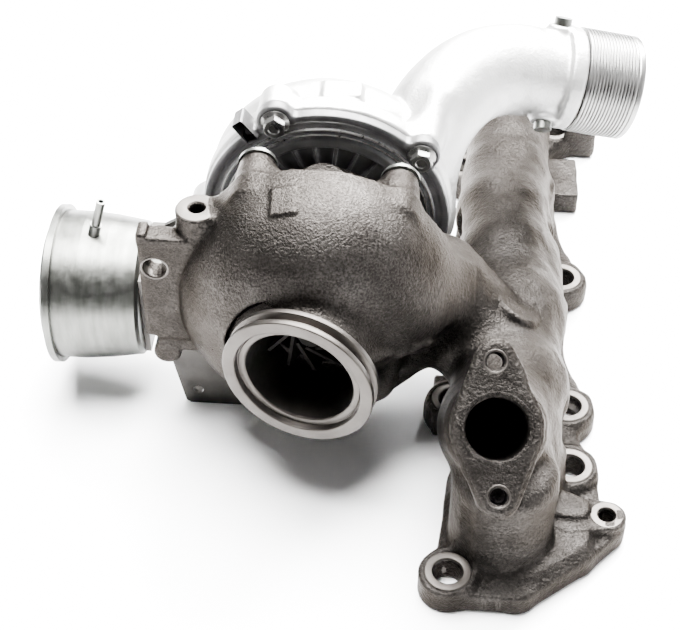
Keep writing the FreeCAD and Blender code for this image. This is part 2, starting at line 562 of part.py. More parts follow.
BENDS = [30.0, 44.0]
comp = [shape("elbow_outer", pipe(elbow_points, BENDS, dim("elbow_r"))),
        torus("scroll", "scroll_ring_r", "scroll_r", (sx, scroll_y, sz), YDIR),
        cyl("scroll_core", 40, 30, (sx, -33, sz), YDIR),
        cyl("housing_flange", 58, 8, (sx, -35.9, sz), YDIR),
        cyl("inlet_root", "inlet_r + 1.6", 16, (sx, -10, sz), YDIR),
        cyl("inlet_neck", "inlet_r - 1", 32, (sx, -10, sz), YDIR),
        cyl("inlet_end", "inlet_r", 14, (sx, 8, sz), YDIR),
        cyl("elbow_collar", "elbow_r + 3.4", 7, tuple(elbow_end - sleeve_dir * 7), tuple(sleeve_dir))]
bore_start = Vector(-52, -17, 72)
comp_cuts = [shape("elbow_inner", pipe([bore_start] + elbow_points[1:3] + [elbow_end + sleeve_dir * 2], BENDS,
                                       dim("elbow_bore"))),
             torus("scroll_channel", "scroll_ring_r", "scroll_bore", (sx, scroll_y, sz), YDIR),
             cyl("plate_recess", 52.7, 3.2, (sx, -36.2, sz), YDIR),
             cyl("diffuser", 43, 3.4, (sx, -33.4, sz), YDIR),
             lathe("shroud_space", [(0, -31), (25.2, -31), (25.2, -27.7), (20.6, -22.7), (18.4, -15.6), (0, -15.6)],
                   SHAFT),
             cyl("inducer_bore", "inducer_r + 0.4", 30, (sx, -16, sz), YDIR),
             cone("inlet_cone", "inducer_r + 0.4", "inlet_bore", 10, (sx, -6, sz), YDIR),
             cyl("inlet_bore", "inlet_bore", 20, (sx, 4, sz), YDIR)]
for i, angle in enumerate(PLATE_BOLTS):
    spot = around(dim("plate_bolt_circle"), angle, -35.9)
    comp.append(cyl("housing_ear_%d" % i, "plate_ear_r", 12, spot, YDIR))
    comp_cuts.append(cyl("housing_thread_%d" % i, 2.6, 10, (spot[0], -36.5, spot[2]), YDIR))
side = sleeve_dir.cross(Z).normalize()
over = side.cross(sleeve_dir).normalize()
SCREWS = [(side * 0.8 - over * 0.6, 13.0), (over * 0.92 - side * 0.38, 11.0)]
for i, (away, back) in enumerate(SCREWS):
    away = away.normalize()
    foot = elbow_end - sleeve_dir * back + away * 12
    comp.append(cyl("screw_boss_%d" % i, 6, 12.2, tuple(foot), tuple(away)))
    comp_cuts.append(cyl("screw_thread_%d" % i, 2.1, 8, tuple(foot + away * 5.5), tuple(away)))
keep(cut("compressor_cut", fuse("compressor_solid", comp), comp_cuts), "compressor_housing")

# room in the turbine casting for the pieces bolted beside it
holes.append(cyl("centre_room", "centre_flange_r + 0.4", 34, (sx, -75, sz), YDIR))
holes.append(cyl("plate_room", "plate_r + 1.5", 46, (sx, -43.3, sz), YDIR))
holes.append(shape("elbow_room", pipe(elbow_points, BENDS, dim("elbow_r") + 1)))
for i, angle in enumerate(PLATE_BOLTS):
    holes.append(cyl("plate_bolt_room_%d" % i, "plate_ear_r + 0.9", 31,
                     around(dim("plate_bolt_circle"), angle, -51), YDIR))
for i, angle in enumerate(REAR_BOLTS):
    holes.append(cyl("rear_bolt_room_%d" % i, 9.2, 20, around(dim("rear_bolt_circle"), angle, -68), YDIR))
keep(cut("turbine_casting", casting_mass, holes), "turbine_housing_manifold")

screws = []
for i, (away, back) in enumerate(SCREWS):
    away = away.normalize()
    top = elbow_end - sleeve_dir * back + away * 24.25
    screws.append(fuse("sleeve_screw_%d" % i, [cyl("screw_head_%d" % i, 4.2, 3.6, tuple(top), tuple(away)),
                                               cyl("screw_stem_%d" % i, 2, 6, tuple(top - away * 5.9), tuple(away))]))
compound("elbow_screws", screws)

grooves = 14
groove_step = dim("groove_pitch")
outer = [(dim("sleeve_bore"), 0), (dim("sleeve_r"), 0)]
for i in range(grooves):
    start = 1.0 + i * groove_step
    root = dim("sleeve_r") - dim("groove_depth")
    outer += [(dim("sleeve_r"), start), (root, start + 0.25), (root, start + 0.65), (dim("sleeve_r"), start + 0.9)]
outer += [("sleeve_r", dim("sleeve_len") - 0.8), (24.2, dim("sleeve_len")), ("sleeve_bore", dim("sleeve_len"))]
sleeve_place = Placement(elbow_end + sleeve_dir * 0.1, Rotation(Y, sleeve_dir))
keep(lathe("sleeve_lathe", outer, sleeve_place), "outlet_sleeve")

# --------------------------------------------------------------------------- vacuum actuator
can_mass = lathe("can_lathe", [
    (8.2, 42), (29.8, 42), (31.6, 40.4), (33.8, 26), ("can_r", 14), ("can_r", 2.3), (35.6, 1.8), (35.6, 1.2),
    (33.6, 1.2), (33.6, 14), (32.6, 25.8), (30.5, 39.6), (29.2, 40.8), (8.2, 40.8)], CAN)
can_origin = Vector(dim("can_x"), dim("can_y"), dim("can_z"))
nipple_dir = Vector(0.28, 0, 1).normalize()
nipple_foot = can_origin + Vector(19.8, -3, 34.7) - nipple_dir * 2.6
can_studs = [cyl("can_stud_%d" % i, 2.5, 12, (can_origin.x + 41.5, can_origin.y, can_origin.z + dz), (1, 0, 0))
             for i, dz in enumerate((-15, 15))]
nipple_hole = cyl("nipple_hole", "nipple_r + 0.65", 8, tuple(nipple_foot - nipple_dir), tuple(nipple_dir))
keep(cut("can_cut", fuse("can_fuse", [can_mass] + can_studs), [nipple_hole]), "vacuum_can")
keep(lathe("cover_lathe", [
    (0, -4.4), (26, -4.4), (30.6, -3.2), (32.4, -0.6), ("crimp_r", -0.6), ("crimp_r", 2.5), (35.0, 2.5),
    (35.0, 2.25), (35.75, 1.9), (35.75, -0.05), (30.8, -0.05), (29.4, -2.3), (25.6, -3.4), (0, -3.4)], CAN),
     "vacuum_can_cover")
keep(cut("nipple_cut", fuse("nipple_mass", [
    cyl("nipple_root", "nipple_r + 0.6", 8, tuple(nipple_foot), tuple(nipple_dir)),
    cyl("nipple_tube", "nipple_r", 22, tuple(nipple_foot), tuple(nipple_dir))]),
         [cyl("nipple_bore", 1.2, 26, tuple(nipple_foot - nipple_dir), tuple(nipple_dir))]),
     "vacuum_nipple")
keep(lathe("diaphragm_lathe", [
    (34.7, 0), (34.7, 1.1), (32.4, 1.1), (32.4, 11), (27, 11), (27, 0.6), (28, 0.6), (28, 9.8), (31.3, 9.8),
    (31.3, 0)], CAN), "diaphragm")
keep(lathe("piston_lathe", [
    (3.05, 2.6), (26.6, 2.6), (26.6, 11.4), (25.6, 11.4), (25.6, 3.8), (5, 3.8), (5, 6.4), (3.05, 6.4)], CAN),
     "diaphragm_plate")
keep(lathe("rod_bush_lathe", [("rod_r", 36), (8, 36), (8, 44), ("rod_r", 44)], CAN), "rod_bush")
spring_path = Part.makeHelix(5.2, 28, 18)
spring_section = Part.Wire(Part.makeCircle(1.1, Vector(18, 0, 0), Vector(0, 1, 0)))
spring_solid = Part.Wire(spring_path).makePipeShell([spring_section], True, True)
keep(shape("spring_coil", spring_solid,
           Placement(can_origin + Vector(11.4, 0, 0), Rotation(Z, X))), "return_spring")

rod_start = can_origin.x + 2.6
rod_length = lever_end[0] - 3 - rod_start
eye_centre = (lever_end[0], can_origin.y, can_origin.z)
rod = fuse("rod_solid", [cyl("rod_bar", "rod_r - 0.04", rod_length, (rod_start, can_origin.y, can_origin.z), (1, 0, 0)),
                         cyl("rod_eye", 6.2, 5, (eye_centre[0], eye_centre[1] - 2.5, eye_centre[2]), YDIR),
                         cyl("rod_lock_nut", 4.5, 5, (lever_end[0] - 14, can_origin.y, can_origin.z), (1, 0, 0))])
eye_slot = [cyl("eye_slot_low", 2.6, 8, (eye_centre[0], eye_centre[1] - 4, eye_centre[2] - 0.1), YDIR),
            cyl("eye_slot_high", 2.6, 8, (eye_centre[0], eye_centre[1] - 4, eye_centre[2] + 0.8), YDIR)]
keep(cut("rod_cut", rod, eye_slot), "actuator_rod")

# bent sheet bracket between the can and the compressor backplate
bracket_face = box("bracket_face", ("bracket_t", 42, 44), (can_origin.x + 43.4, -63, 50))
bracket_wing = tangent_plate([(-102.8, 24.5, 8), (-146.8, 75, 8), (-164, 66, 6), (-164, 34, 6)], dim("bracket_t"))
wing_place = Placement(Vector(0, -41.95, 0), Rotation(X, 90))
fold = box("bracket_fold", (8, "bracket_t", 44), (can_origin.x + 46, -43.2, 50))
bracket_cuts = [cyl("rod_window", 8.4, 10, (can_origin.x + 38, can_origin.y, can_origin.z), (1, 0, 0))]
for i, dz in enumerate((-15, 15)):
    bracket_cuts.append(cyl("stud_window_%d" % i, 2.6, 10, (can_origin.x + 38, can_origin.y, can_origin.z + dz),
                            (1, 0, 0)))
for i, angle in enumerate(PLATE_BOLTS[2:4]):
    spot = around(dim("plate_bolt_circle"), angle, -48)
    bracket_cuts.append(cyl("bracket_hole_%d" % i, 3.3, 10, spot, YDIR))
keep(cut("bracket_cut", fuse("bracket_solid", [bracket_face, shape("bracket_wing", bracket_wing, wing_place), fold]),
         bracket_cuts), "actuator_bracket")
nuts = []
for i, dz in enumerate((-15, 15)):
    at = (can_origin.x + 44.7, can_origin.y, can_origin.z + dz)
    nuts.append(cut("can_nut_%d" % i, hexagon("can_nut_hex_%d" % i, 9, 4.5, at, (1, 0, 0)),
                    [cyl("can_nut_bore_%d" % i, 2.55, 8, (at[0] - 1, at[1], at[2]), (1, 0, 0))]))
compound("can_nuts", nuts)

# foot sheet under the volute, hung from the knob on the casting
foot = tangent_plate([(-156, 47, 6), (-151.5, 3, 2.5), (-114, 3, 2.5)], 2)
foot_place = Placement(Vector(0, -87.1, 0), Rotation(X, 90))
foot_lip = box("foot_lip", (38, 9, 2), (-133, -84.6, 1.0))
keep(cut("foot_cut", fuse("foot_solid", [shape("foot_sheet", foot, foot_place), foot_lip]),
         [cyl("foot_hole", 2.5, 6, (-147.5, -90, 9), YDIR), cyl("foot_bolt_hole", 2.8, 6, (-157, -91, 47), YDIR)]),
     "foot_bracket")


# --------------------------------------------------------------------------- fasteners
def hex_bolt(name, at, across, head, stem_r, stem, washer=0.0):
    """Bolt along +Y: the head's under-face is at the given point."""
    x, y, z = at
    members = [hexagon(name + "_head", across, head, (x, y - head, z), YDIR),
               cyl(name + "_stem", stem_r, stem, (x, y - 0.5, z), YDIR)]
    if washer:
        members.append(cyl(name + "_flange", washer, 1.4, (x, y - 1.4, z), YDIR))
    return fuse(name, members)


plate_bolts = []
for i, angle in enumerate(PLATE_BOLTS):
    lift = dim("bracket_t") + 0.15 if i in (2, 3) else 0.0
    spot = around(dim("plate_bolt_circle"), angle, -41.85 - lift)
    plate_bolts.append(hex_bolt("plate_bolt_%d" % i, spot, 9, 5.5, 2.5, 13 + lift, 6.4))
compound("backplate_bolts", plate_bolts)

washers = []
rear_bolts = []
for i, angle in enumerate(REAR_BOLTS):
    x, y, z = around(dim("rear_bolt_circle"), angle, -68.0)
    washers.append(cut("clamp_washer_%d" % i, cyl("clamp_disc_%d" % i, 8.6, 1.6, (x, y, z), YDIR),
                       [cyl("clamp_bore_%d" % i, 3.4, 4, (x, y - 1, z), YDIR)]))
    head = hexagon("rear_head_%d" % i, 10, 5, (x, y + 1.65, z), YDIR)
    stem = cyl("rear_stem_%d" % i, 3.2, 16, (x, y - 12, z), YDIR)
    rear_bolts.append(fuse("rear_bolt_%d" % i, [head, stem]))
compound("turbine_clamp_washers", washers)
compound("turbine_housing_bolts", rear_bolts)
foot_bolt_head = hexagon("foot_bolt_head", 8, 3.5, (-157, -87.0, 47), YDIR)
keep(fuse("foot_bolt_fuse", [foot_bolt_head, cyl("foot_bolt_stem", 2.5, 9, (-157, -95.5, 47), YDIR)]), "foot_bolt")

# --------------------------------------------------------------------------- write
def finish():
    doc.recompute()
    failed = [o.Name for o in doc.Objects if "Invalid" in o.State or "Error" in o.State]
    if failed:
        raise RuntimeError("failed objects: %s" % failed)
    os.makedirs("parts", exist_ok=True)
    for obj in parts:
        solid = obj.Shape
        if solid.isNull() or not solid.isValid():
            raise RuntimeError("bad shape: " + obj.Label)
        solid.exportStep("parts/%s.step" % obj.Label)


finish()
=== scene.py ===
"""Looks of the turbocharger: castings rebuilt as smooth blended meshes, machined faces, materials, light, camera."""
import json
import math

import bpy
import numpy as np
from mathutils import Matrix, Vector


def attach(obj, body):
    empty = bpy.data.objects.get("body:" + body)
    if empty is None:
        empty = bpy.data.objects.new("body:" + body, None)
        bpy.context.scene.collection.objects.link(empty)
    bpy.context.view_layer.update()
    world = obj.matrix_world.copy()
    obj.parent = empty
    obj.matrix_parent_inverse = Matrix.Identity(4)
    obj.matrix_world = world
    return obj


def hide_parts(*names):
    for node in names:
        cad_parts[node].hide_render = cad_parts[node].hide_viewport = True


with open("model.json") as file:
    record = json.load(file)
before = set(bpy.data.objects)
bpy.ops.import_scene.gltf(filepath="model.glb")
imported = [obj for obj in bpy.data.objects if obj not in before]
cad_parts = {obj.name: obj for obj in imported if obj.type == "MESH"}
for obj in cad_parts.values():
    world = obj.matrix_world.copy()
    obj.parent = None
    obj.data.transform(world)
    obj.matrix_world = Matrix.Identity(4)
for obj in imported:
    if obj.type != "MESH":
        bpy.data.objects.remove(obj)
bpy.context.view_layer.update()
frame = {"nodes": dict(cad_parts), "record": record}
nodes = frame["nodes"]
MM = 0.001


# ------------------------------------------------------------------ camera
CAMERA_PLACE = (-0.04333, -0.57589, 0.5241)
CAMERA_FORWARD = (-0.05448, 0.72453, -0.68709)
CAMERA_RIGHT = (0.9972, 0.0750, 0.0)
SENSOR_MM, LENS_MM = 36.0, 79.15


def add_camera():
    """Camera looking down on the near end of the manifold."""
    forward = Vector(CAMERA_FORWARD).normalized()
    right = Vector(CAMERA_RIGHT).normalized()
    up = right.cross(forward).normalized()
    right = forward.cross(up).normalized()
    data = bpy.data.cameras.new("camera")
    data.sensor_width = SENSOR_MM
    data.lens = LENS_MM
    data.clip_start = 0.02
    data.clip_end = 20.0
    cam = bpy.data.objects.new("camera", data)
    bpy.context.scene.collection.objects.link(cam)
    turn = Matrix((right, up, -forward)).transposed()
    cam.matrix_world = Matrix.Translation(CAMERA_PLACE) @ turn.to_4x4()
    bpy.context.scene.camera = cam


add_camera()


# ------------------------------------------------------------------ distance fields
class Field:
    """Signed distance on a regular grid, in millimetres; negative inside."""

    FAR = 12.0

    def __init__(self, low, high, step):
        self.low = np.array(low, float)
        self.step = step
        count = np.ceil((np.array(high, float) - self.low) / step).astype(int) + 1
        self.values = np.full(count, self.FAR, np.float32)

    def block(self, low, high):
        first = np.clip(np.floor((low - self.low) / self.step).astype(int), 0, self.values.shape)
        last = np.clip(np.ceil((high - self.low) / self.step).astype(int) + 1, 0, self.values.shape)
        cut = tuple(slice(a, b) for a, b in zip(first, last))
        axes = [(self.low[k] + self.step * np.arange(first[k], last[k])).astype(np.float32) for k in range(3)]
        return cut, np.meshgrid(*axes, indexing="ij", sparse=True)

    def add(self, part, soft=4.0):
        """Union with a rounded inside corner of about that size."""
        reach = part.reach + soft + 2
        cut, grid = self.block(part.middle - reach, part.middle + reach)
        here = self.values[cut]
        if here.size:
            there = part.distance(grid)
            mix = np.clip(0.5 + 0.5 * (here - there) / soft, 0, 1)
            self.values[cut] = here + (there - here) * mix - soft * mix * (1 - mix)

    def cut(self, part, soft=0.6):
        """Subtraction with a small rounded edge."""
        reach = part.reach + soft + 2
        cut, grid = self.block(part.middle - reach, part.middle + reach)
        here = self.values[cut]
        if here.size:
            there = -part.distance(grid)
            mix = np.clip(0.5 + 0.5 * (there - here) / soft, 0, 1)
            self.values[cut] = here + (there - here) * mix + soft * mix * (1 - mix)

    def mesh(self):
        """Surface nets: (vertices in mm, quads)."""
        values = self.values
        inside = values < 0
        corners = [(i, j, k) for i in (0, 1) for j in (0, 1) for k in (0, 1)]
        size = [n - 1 for n in values.shape]

        def at(array, c):
            return array[c[0]:c[0] + size[0], c[1]:c[1] + size[1], c[2]:c[2] + size[2]]

        total = np.zeros(size, np.uint8)
        for c in corners:
            total += at(inside, c)
        cells = np.argwhere((total > 0) & (total < 8))
        level = np.stack([values[cells[:, 0] + c[0], cells[:, 1] + c[1], cells[:, 2] + c[2]] for c in corners], 1)
        summed = np.zeros((len(cells), 3))
        hits = np.zeros(len(cells))
        place = np.array(corners, float)
        for a in range(8):
            for b in range(a + 1, 8):
                if np.abs(place[a] - place[b]).sum() == 1:
                    crosses = (level[:, a] < 0) != (level[:, b] < 0)
                    share = level[:, a] / np.where(crosses, level[:, a] - level[:, b], 1)
                    point = place[a] + share[:, None] * (place[b] - place[a])
                    summed += point * crosses[:, None]
                    hits += crosses
        vertices = self.low + self.step * (cells + summed / hits[:, None])
        index = np.full(size, -1, np.int32)
        index[tuple(cells.T)] = np.arange(len(cells))
        quads = []
        for axis in range(3):
            u, v = (axis + 1) % 3, (axis + 2) % 3
            low_side = [slice(None)] * 3
            high_side = [slice(None)] * 3
            low_side[axis] = slice(0, -1)
            high_side[axis] = slice(1, None)
            first = inside[tuple(low_side)]
            edge = np.argwhere(first != inside[tuple(high_side)])
            keep = (edge[:, u] > 0) & (edge[:, v] > 0) & (edge[:, u] < size[u]) & (edge[:, v] < size[v])
            edge = edge[keep]
            out = first[tuple(edge.T)]
            ring = []
            for du, dv in ((-1, -1), (0, -1), (0, 0), (-1, 0)):
                cell = edge.copy()
                cell[:, u] += du
                cell[:, v] += dv
                ring.append(index[tuple(cell.T)])
            quad = np.stack(ring, 1)
            quad[~out] = quad[~out][:, ::-1]
            quads.append(quad)
        return vertices, np.concatenate(quads)


class Part:
    """A shape in its own axes: local z runs along its main direction."""

    def __init__(self, base, axis=(0, 0, 1), side=None):
        self.base = np.array(base, np.float32)
        z = np.array(axis, float)
        z /= np.linalg.norm(z)
        hint = np.array(side if side is not None else ((1, 0, 0) if abs(z[0]) < 0.8 else (0, 1, 0)), float)
        x = hint - z * hint.dot(z)
        x /= np.linalg.norm(x)
        self.axes = np.array([x, np.cross(z, x), z], np.float32)
        self.middle = np.array(base, float)
        self.reach = 0.0

    def local(self, grid):
        shifted = [grid[k] - self.base[k] for k in range(3)]
        return [row[0] * shifted[0] + row[1] * shifted[1] + row[2] * shifted[2] for row in self.axes]


class Rod(Part):
    """Tapered round bar with flat ends."""

    def __init__(self, start, axis, length, r0, r1=None, edge=0.0):
        super().__init__(start, axis)
        self.length, self.r0, self.r1, self.edge = length, r0 - edge, (r0 if r1 is None else r1) - edge, edge
        self.middle = self.base + self.axes[2] * length / 2
        self.reach = math.hypot(length / 2, max(r0, self.r1 + edge))

    def distance(self, grid):
        x, y, z = self.local(grid)
        slope = (self.r1 - self.r0) / self.length
        radial = (np.hypot(x, y) - self.r0 - slope * np.clip(z, 0, self.length)) / math.hypot(1, slope)
        axial = np.abs(z - self.length / 2) - self.length / 2 + self.edge
        outside = np.hypot(np.maximum(radial, 0), np.maximum(axial, 0))
        return np.minimum(np.maximum(radial, axial), 0) + outside - self.edge


class Bar(Part):
    """Bar between two points with round ends and its own radius at each."""

    def __init__(self, start, end, r0, r1=None):
        span = np.array(end, float) - np.array(start, float)
        super().__init__(start, span)
        self.length = float(np.linalg.norm(span))
        self.r0, self.r1 = r0, r0 if r1 is None else r1
        self.middle = np.array(start, float) + span / 2
        self.reach = self.length / 2 + max(self.r0, self.r1)

    def distance(self, grid):
        x, y, z = self.local(grid)
        share = np.clip(z / self.length, 0, 1)
        return np.sqrt(x * x + y * y + (z - share * self.length) ** 2) - (self.r0 + (self.r1 - self.r0) * share)


class Block(Part):
    """Box about its centre, with rounded edges."""

    def __init__(self, centre, size, axis=(0, 0, 1), side=None, edge=1.5):
        super().__init__(centre, axis, side)
        self.half = np.array(size, float) / 2 - edge
        self.edge = edge
        self.reach = float(np.linalg.norm(np.array(size) / 2))

    def distance(self, grid):
        gaps = [np.abs(c) - h for c, h in zip(self.local(grid), self.half)]
        outside = np.sqrt(sum(np.maximum(g, 0) ** 2 for g in gaps))
        return outside + np.minimum(np.maximum(np.maximum(gaps[0], gaps[1]), gaps[2]), 0) - self.edge


class Ring(Part):
    """Torus whose axis is its main direction."""

    def __init__(self, centre, axis, radius, tube):
        super().__init__(centre, axis)
        self.radius, self.tube = radius, tube
        self.reach = radius + tube

    def distance(self, grid):
        x, y, z = self.local(grid)
        return np.hypot(np.hypot(x, y) - self.radius, z) - self.tube


class Dome(Part):
    """Rounded cap: a ring of the given tube round a flat nose, standing on a short straight collar."""

    def __init__(self, base, axis, nose, tube, collar):
        super().__init__(base, axis)
        self.nose, self.tube, self.collar = nose, tube, collar
        self.middle = self.base + self.axes[2] * (tube + collar) / 2
        self.reach = nose + tube + collar

    def distance(self, grid):
        x, y, z = self.local(grid)
        radial = np.maximum(np.hypot(x, y) - self.nose, 0)
        rise = np.maximum(z - self.collar, 0)
        return np.maximum(np.hypot(radial, rise) - self.tube, -z)


class Slab(Part):
    """Plate of even thickness whose outline wraps two circles: one at the base, one at the offset."""

    def __init__(self, base, axis, thickness, r0, offset, r1, edge=0.8):
        offset = np.array(offset, float)
        super().__init__(base, axis, offset)
        self.span = float(np.linalg.norm(offset))
        self.r0, self.r1, self.thick, self.edge = r0 - edge, r1 - edge, thickness, edge
        self.middle = self.base + offset / 2
        self.reach = self.span / 2 + max(r0, r1) + thickness

    def distance(self, grid):
        x, y, z = self.local(grid)
        y = np.abs(y)
        drop = (self.r0 - self.r1) / self.span
        run = math.sqrt(1 - drop * drop)
        along = x * run - y * drop
        across = np.where(along < 0, np.hypot(x, y) - self.r0,
                          np.where(along > self.span * run, np.hypot(x - self.span, y) - self.r1,
                                   x * drop + y * run - self.r0))
        axial = np.abs(z - self.thick / 2) - self.thick / 2 + self.edge
        outside = np.hypot(np.maximum(across, 0), np.maximum(axial, 0))
        return np.minimum(np.maximum(across, axial), 0) + outside - self.edge


def lattice_noise(points, scale, seed):
    """Smooth random value in -1..1 at each point (mm), features about one scale wide."""
    table = np.random.default_rng(seed).uniform(-1, 1, (32, 32, 32))
    spot = points / scale
    cell = np.floor(spot).astype(int)
    part = spot - cell
    part = part * part * (3 - 2 * part)
    total = np.zeros(len(points))
    for i in (0, 1):
        for j in (0, 1):
            for k in (0, 1):
                weight = (abs(1 - i - part[:, 0]) * abs(1 - j - part[:, 1]) * abs(1 - k - part[:, 2]))
                total += weight * table[(cell[:, 0] + i) % 32, (cell[:, 1] + j) % 32, (cell[:, 2] + k) % 32]
    return total


def grid_mesh(name, vertices, quads):
    """Mesh object from arrays in millimetres, riding on the housing."""
    data = bpy.data.meshes.new(name)
    data.vertices.add(len(vertices))
    data.vertices.foreach_set("co", (vertices * MM).astype(np.float32).ravel())
    data.loops.add(quads.size)
    data.loops.foreach_set("vertex_index", quads.astype(np.int32).ravel())
    data.polygons.add(len(quads))
    data.polygons.foreach_set("loop_start", np.arange(len(quads), dtype=np.int32) * quads.shape[1])
    data.polygons.foreach_set("use_smooth", np.ones(len(quads), bool))
    data.update(calc_edges=True)
    data.validate()
    obj = bpy.data.objects.new(name, data)
    bpy.context.scene.collection.objects.link(obj)
    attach(obj, "housing")
    return obj


# ------------------------------------------------------------------ places shared with the CAD, in millimetres
SHAFT = np.array((-90.0, 0.0, 80.0))
PITCH = 90.0
STUD_X = 26.8
FAR_STUD_Y, END_STUD_Y = 127.2, 190.0
FLANGE_T = 13.0
OUTLET = np.array((-94.0, -146.0, 76.0))
OUTLET_DIR = np.array((-0.253, -0.967, -0.017)) / np.linalg.norm((-0.253, -0.967, -0.017))
EGR = np.array((-11.4, -175.6, 87.2))
EGR_TILT = math.radians(46.5)
EGR_DIR = np.array((0, -math.cos(EGR_TILT), math.sin(EGR_TILT)))
EGR_UP = np.array((0, math.sin(EGR_TILT), math.cos(EGR_TILT)))
EGR_EARS = [(-1.9, 26.6), (1.9, -26.6)]
REAR_BOLTS = [51.5, 119.0, 191.0, 263.0, 335.0]
PLATE_BOLTS = [41.0, 113.0, 185.0, 257.0, 329.0]
STUDS = [(STUD_X, -FAR_STUD_Y), (STUD_X, -PITCH), (STUD_X, 0), (STUD_X, FAR_STUD_Y),
         (-STUD_X, -END_STUD_Y), (-STUD_X, -PITCH), (-STUD_X, 0), (-STUD_X, PITCH)]
PORTS = [PITCH * k for k in (-1.5, -0.5, 0.5, 1.5)]
UP, YDIR = (0, 0, 1), (0, 1, 0)
REAR_BOLT_CIRCLE, PLATE_BOLT_CIRCLE = 55.5, 57
STUD_HOLE_R, M8_TAP_R, EGR_BORE = 6.25, 3.4, 12.5
TOP_BOSS = (-140, -94)
EAR_THREAD = (41.3, -156.3)
EAR_HOLE_X, EAR_HOLE_Z, EAR_HOLE_R = -158.5, 98.3, 5.0


def around(radius, degrees, y):
    turn = math.radians(degrees)
    return np.array((SHAFT[0] + radius * math.cos(turn), y, SHAFT[2] + radius * math.sin(turn)))


# ------------------------------------------------------------------ turbine housing with manifold
def chain(field, points, soft):
    """Round bars through (x, y, z, radius) points."""
    for a, b in zip(points[:-1], points[1:]):
        field.add(Bar(a[:3], b[:3], a[3], b[3]), soft)


def manifold_mass(field):
    """Log, runners, lobes and the foot plate with its lugs."""
    chain(field, [(0, 150, 34, 21), (-1, 92, 35, 21.5), (-3, 48, 36, 22), (-5, 16, 38, 23), (-4, -20, 40, 22.5),
                  (-1, -62, 40, 23)], 3)
    for y in PORTS:
        field.add(Rod((0, y, 0), UP, 34, 26, 22), 7)
    chain(field, [(6, 16, 32, 15), (6, -24, 36, 18), (3, -52, 38, 21)], 1.6)
    chain(field, [(0, -62, 41, 23), (-2, -110, 40, 23), (-4, -150, 36, 22)], 8)
    field.add(Block((0, 0, 5.5), (44, 2 * 148, 11), edge=2.5), 6)
    for x, y in STUDS:
        if abs(y) < END_STUD_Y:
            side = math.copysign(1, x)
            field.add(Slab((x, y, 0), UP, 10, 11.5, (-11 * side, 38, 0), 9, edge=2.5), 8)
            field.add(Slab((x, y, 0), UP, 10, 11.5, (-9 * side, -12, 0), 9, edge=2.5), 6)
        field.add(Rod((x, y, 0), UP, FLANGE_T, 12.5, edge=1.2), 2.5)
    field.add(Block((-29, -87.5, 5.5), (14, 31, 11), edge=1.5), 1.5)
    field.add(Block((38, 127, 11), (24, 20, 22), edge=3.0), 1.5)
    field.add(Block((20, 84, 6.3), (37, 34, 12.6), edge=1.6), 2.0)


def near_end_mass(field):
    """Foot plate under the recirculation column, its tapped ear and the rough flat beside it."""
    corners = [(-STUD_X, -END_STUD_Y, 11), (2, -192, 9), (28, -172, 8), (41.3, -157, 8.4)]
    for (xa, ya, ra), (xb, yb, rb) in zip(corners[:-1], corners[1:]):
        field.add(Slab((xa, ya, 0), UP, 11, ra, (xb - xa, yb - ya, 0), rb, edge=1.8), 2)
    field.add(Slab((-20, -180, 0), UP, 10, 12, (10, 40, 0), 18, edge=2.0), 6)
    field.add(Slab((4, -180, 0), UP, 14, 12, (18, 14, 0), 12, edge=2.5), 6)
    field.add(Slab((24, -156, 0), UP, 15, 10, (17.3, -0.3, 0), 8.4, edge=1.2), 1.5)
    field.add(Slab((14, -150, 0), UP, 17.5, 9, (14, -4, 0), 6, edge=1.5), 2)
    field.add(Slab((26, -FAR_STUD_Y - 4, 0), UP, 9, 13, (4, -14, 0), 10, edge=1.5), 2)


def column_mass(field):
    """Recirculation column with its neck up to the diamond flange."""
    field.add(Rod((-5, -167, 0), UP, 57, 22.3, edge=8), 4)
    field.add(Bar((-5, -148, 10), (-5, -138, 44), 20, 22), 8)
    foot = EGR - EGR_DIR * 56
    field.add(Rod(foot, EGR_DIR, 48, 22.0, 21.0, edge=4), 7)
    field.add(Bar(EGR - EGR_DIR * 40, (-3, -112, 46), 20, 23), 9)
    field.add(Block((-25.6, -172, 26), (1.6, 2.4, 52), edge=0.7), 1.6)
    for radius, ear, thick in ((19.0, 9.0, 10.6), (17.4, 7.4, 12.0)):
        for dx, dv in EGR_EARS:
            offset = np.array((dx, 0, 0)) + EGR_UP * dv
            field.add(Slab(EGR - EGR_DIR * 12, EGR_DIR, thick, radius, offset, ear, edge=0.6), 0.7)


def volute_mass(field):
    """Domed volute, a rounded block cut away towards the column, and the duct that feeds it."""
    back = np.array((SHAFT[0], -85.0, SHAFT[2]))
    field.add(Dome(back, (0, -1, 0), 18.0, 44.0, 4.0), 1)
    field.cut(Block((-26, -133, 46), (44, 60, 62), (0, 0, 1), (1, 0.25, 0), edge=3), 6)
    chain(field, [(-60, -92, 82, 28), (-40, -75, 66, 24.5), (-24, -80, 54, 22.5)], 12)


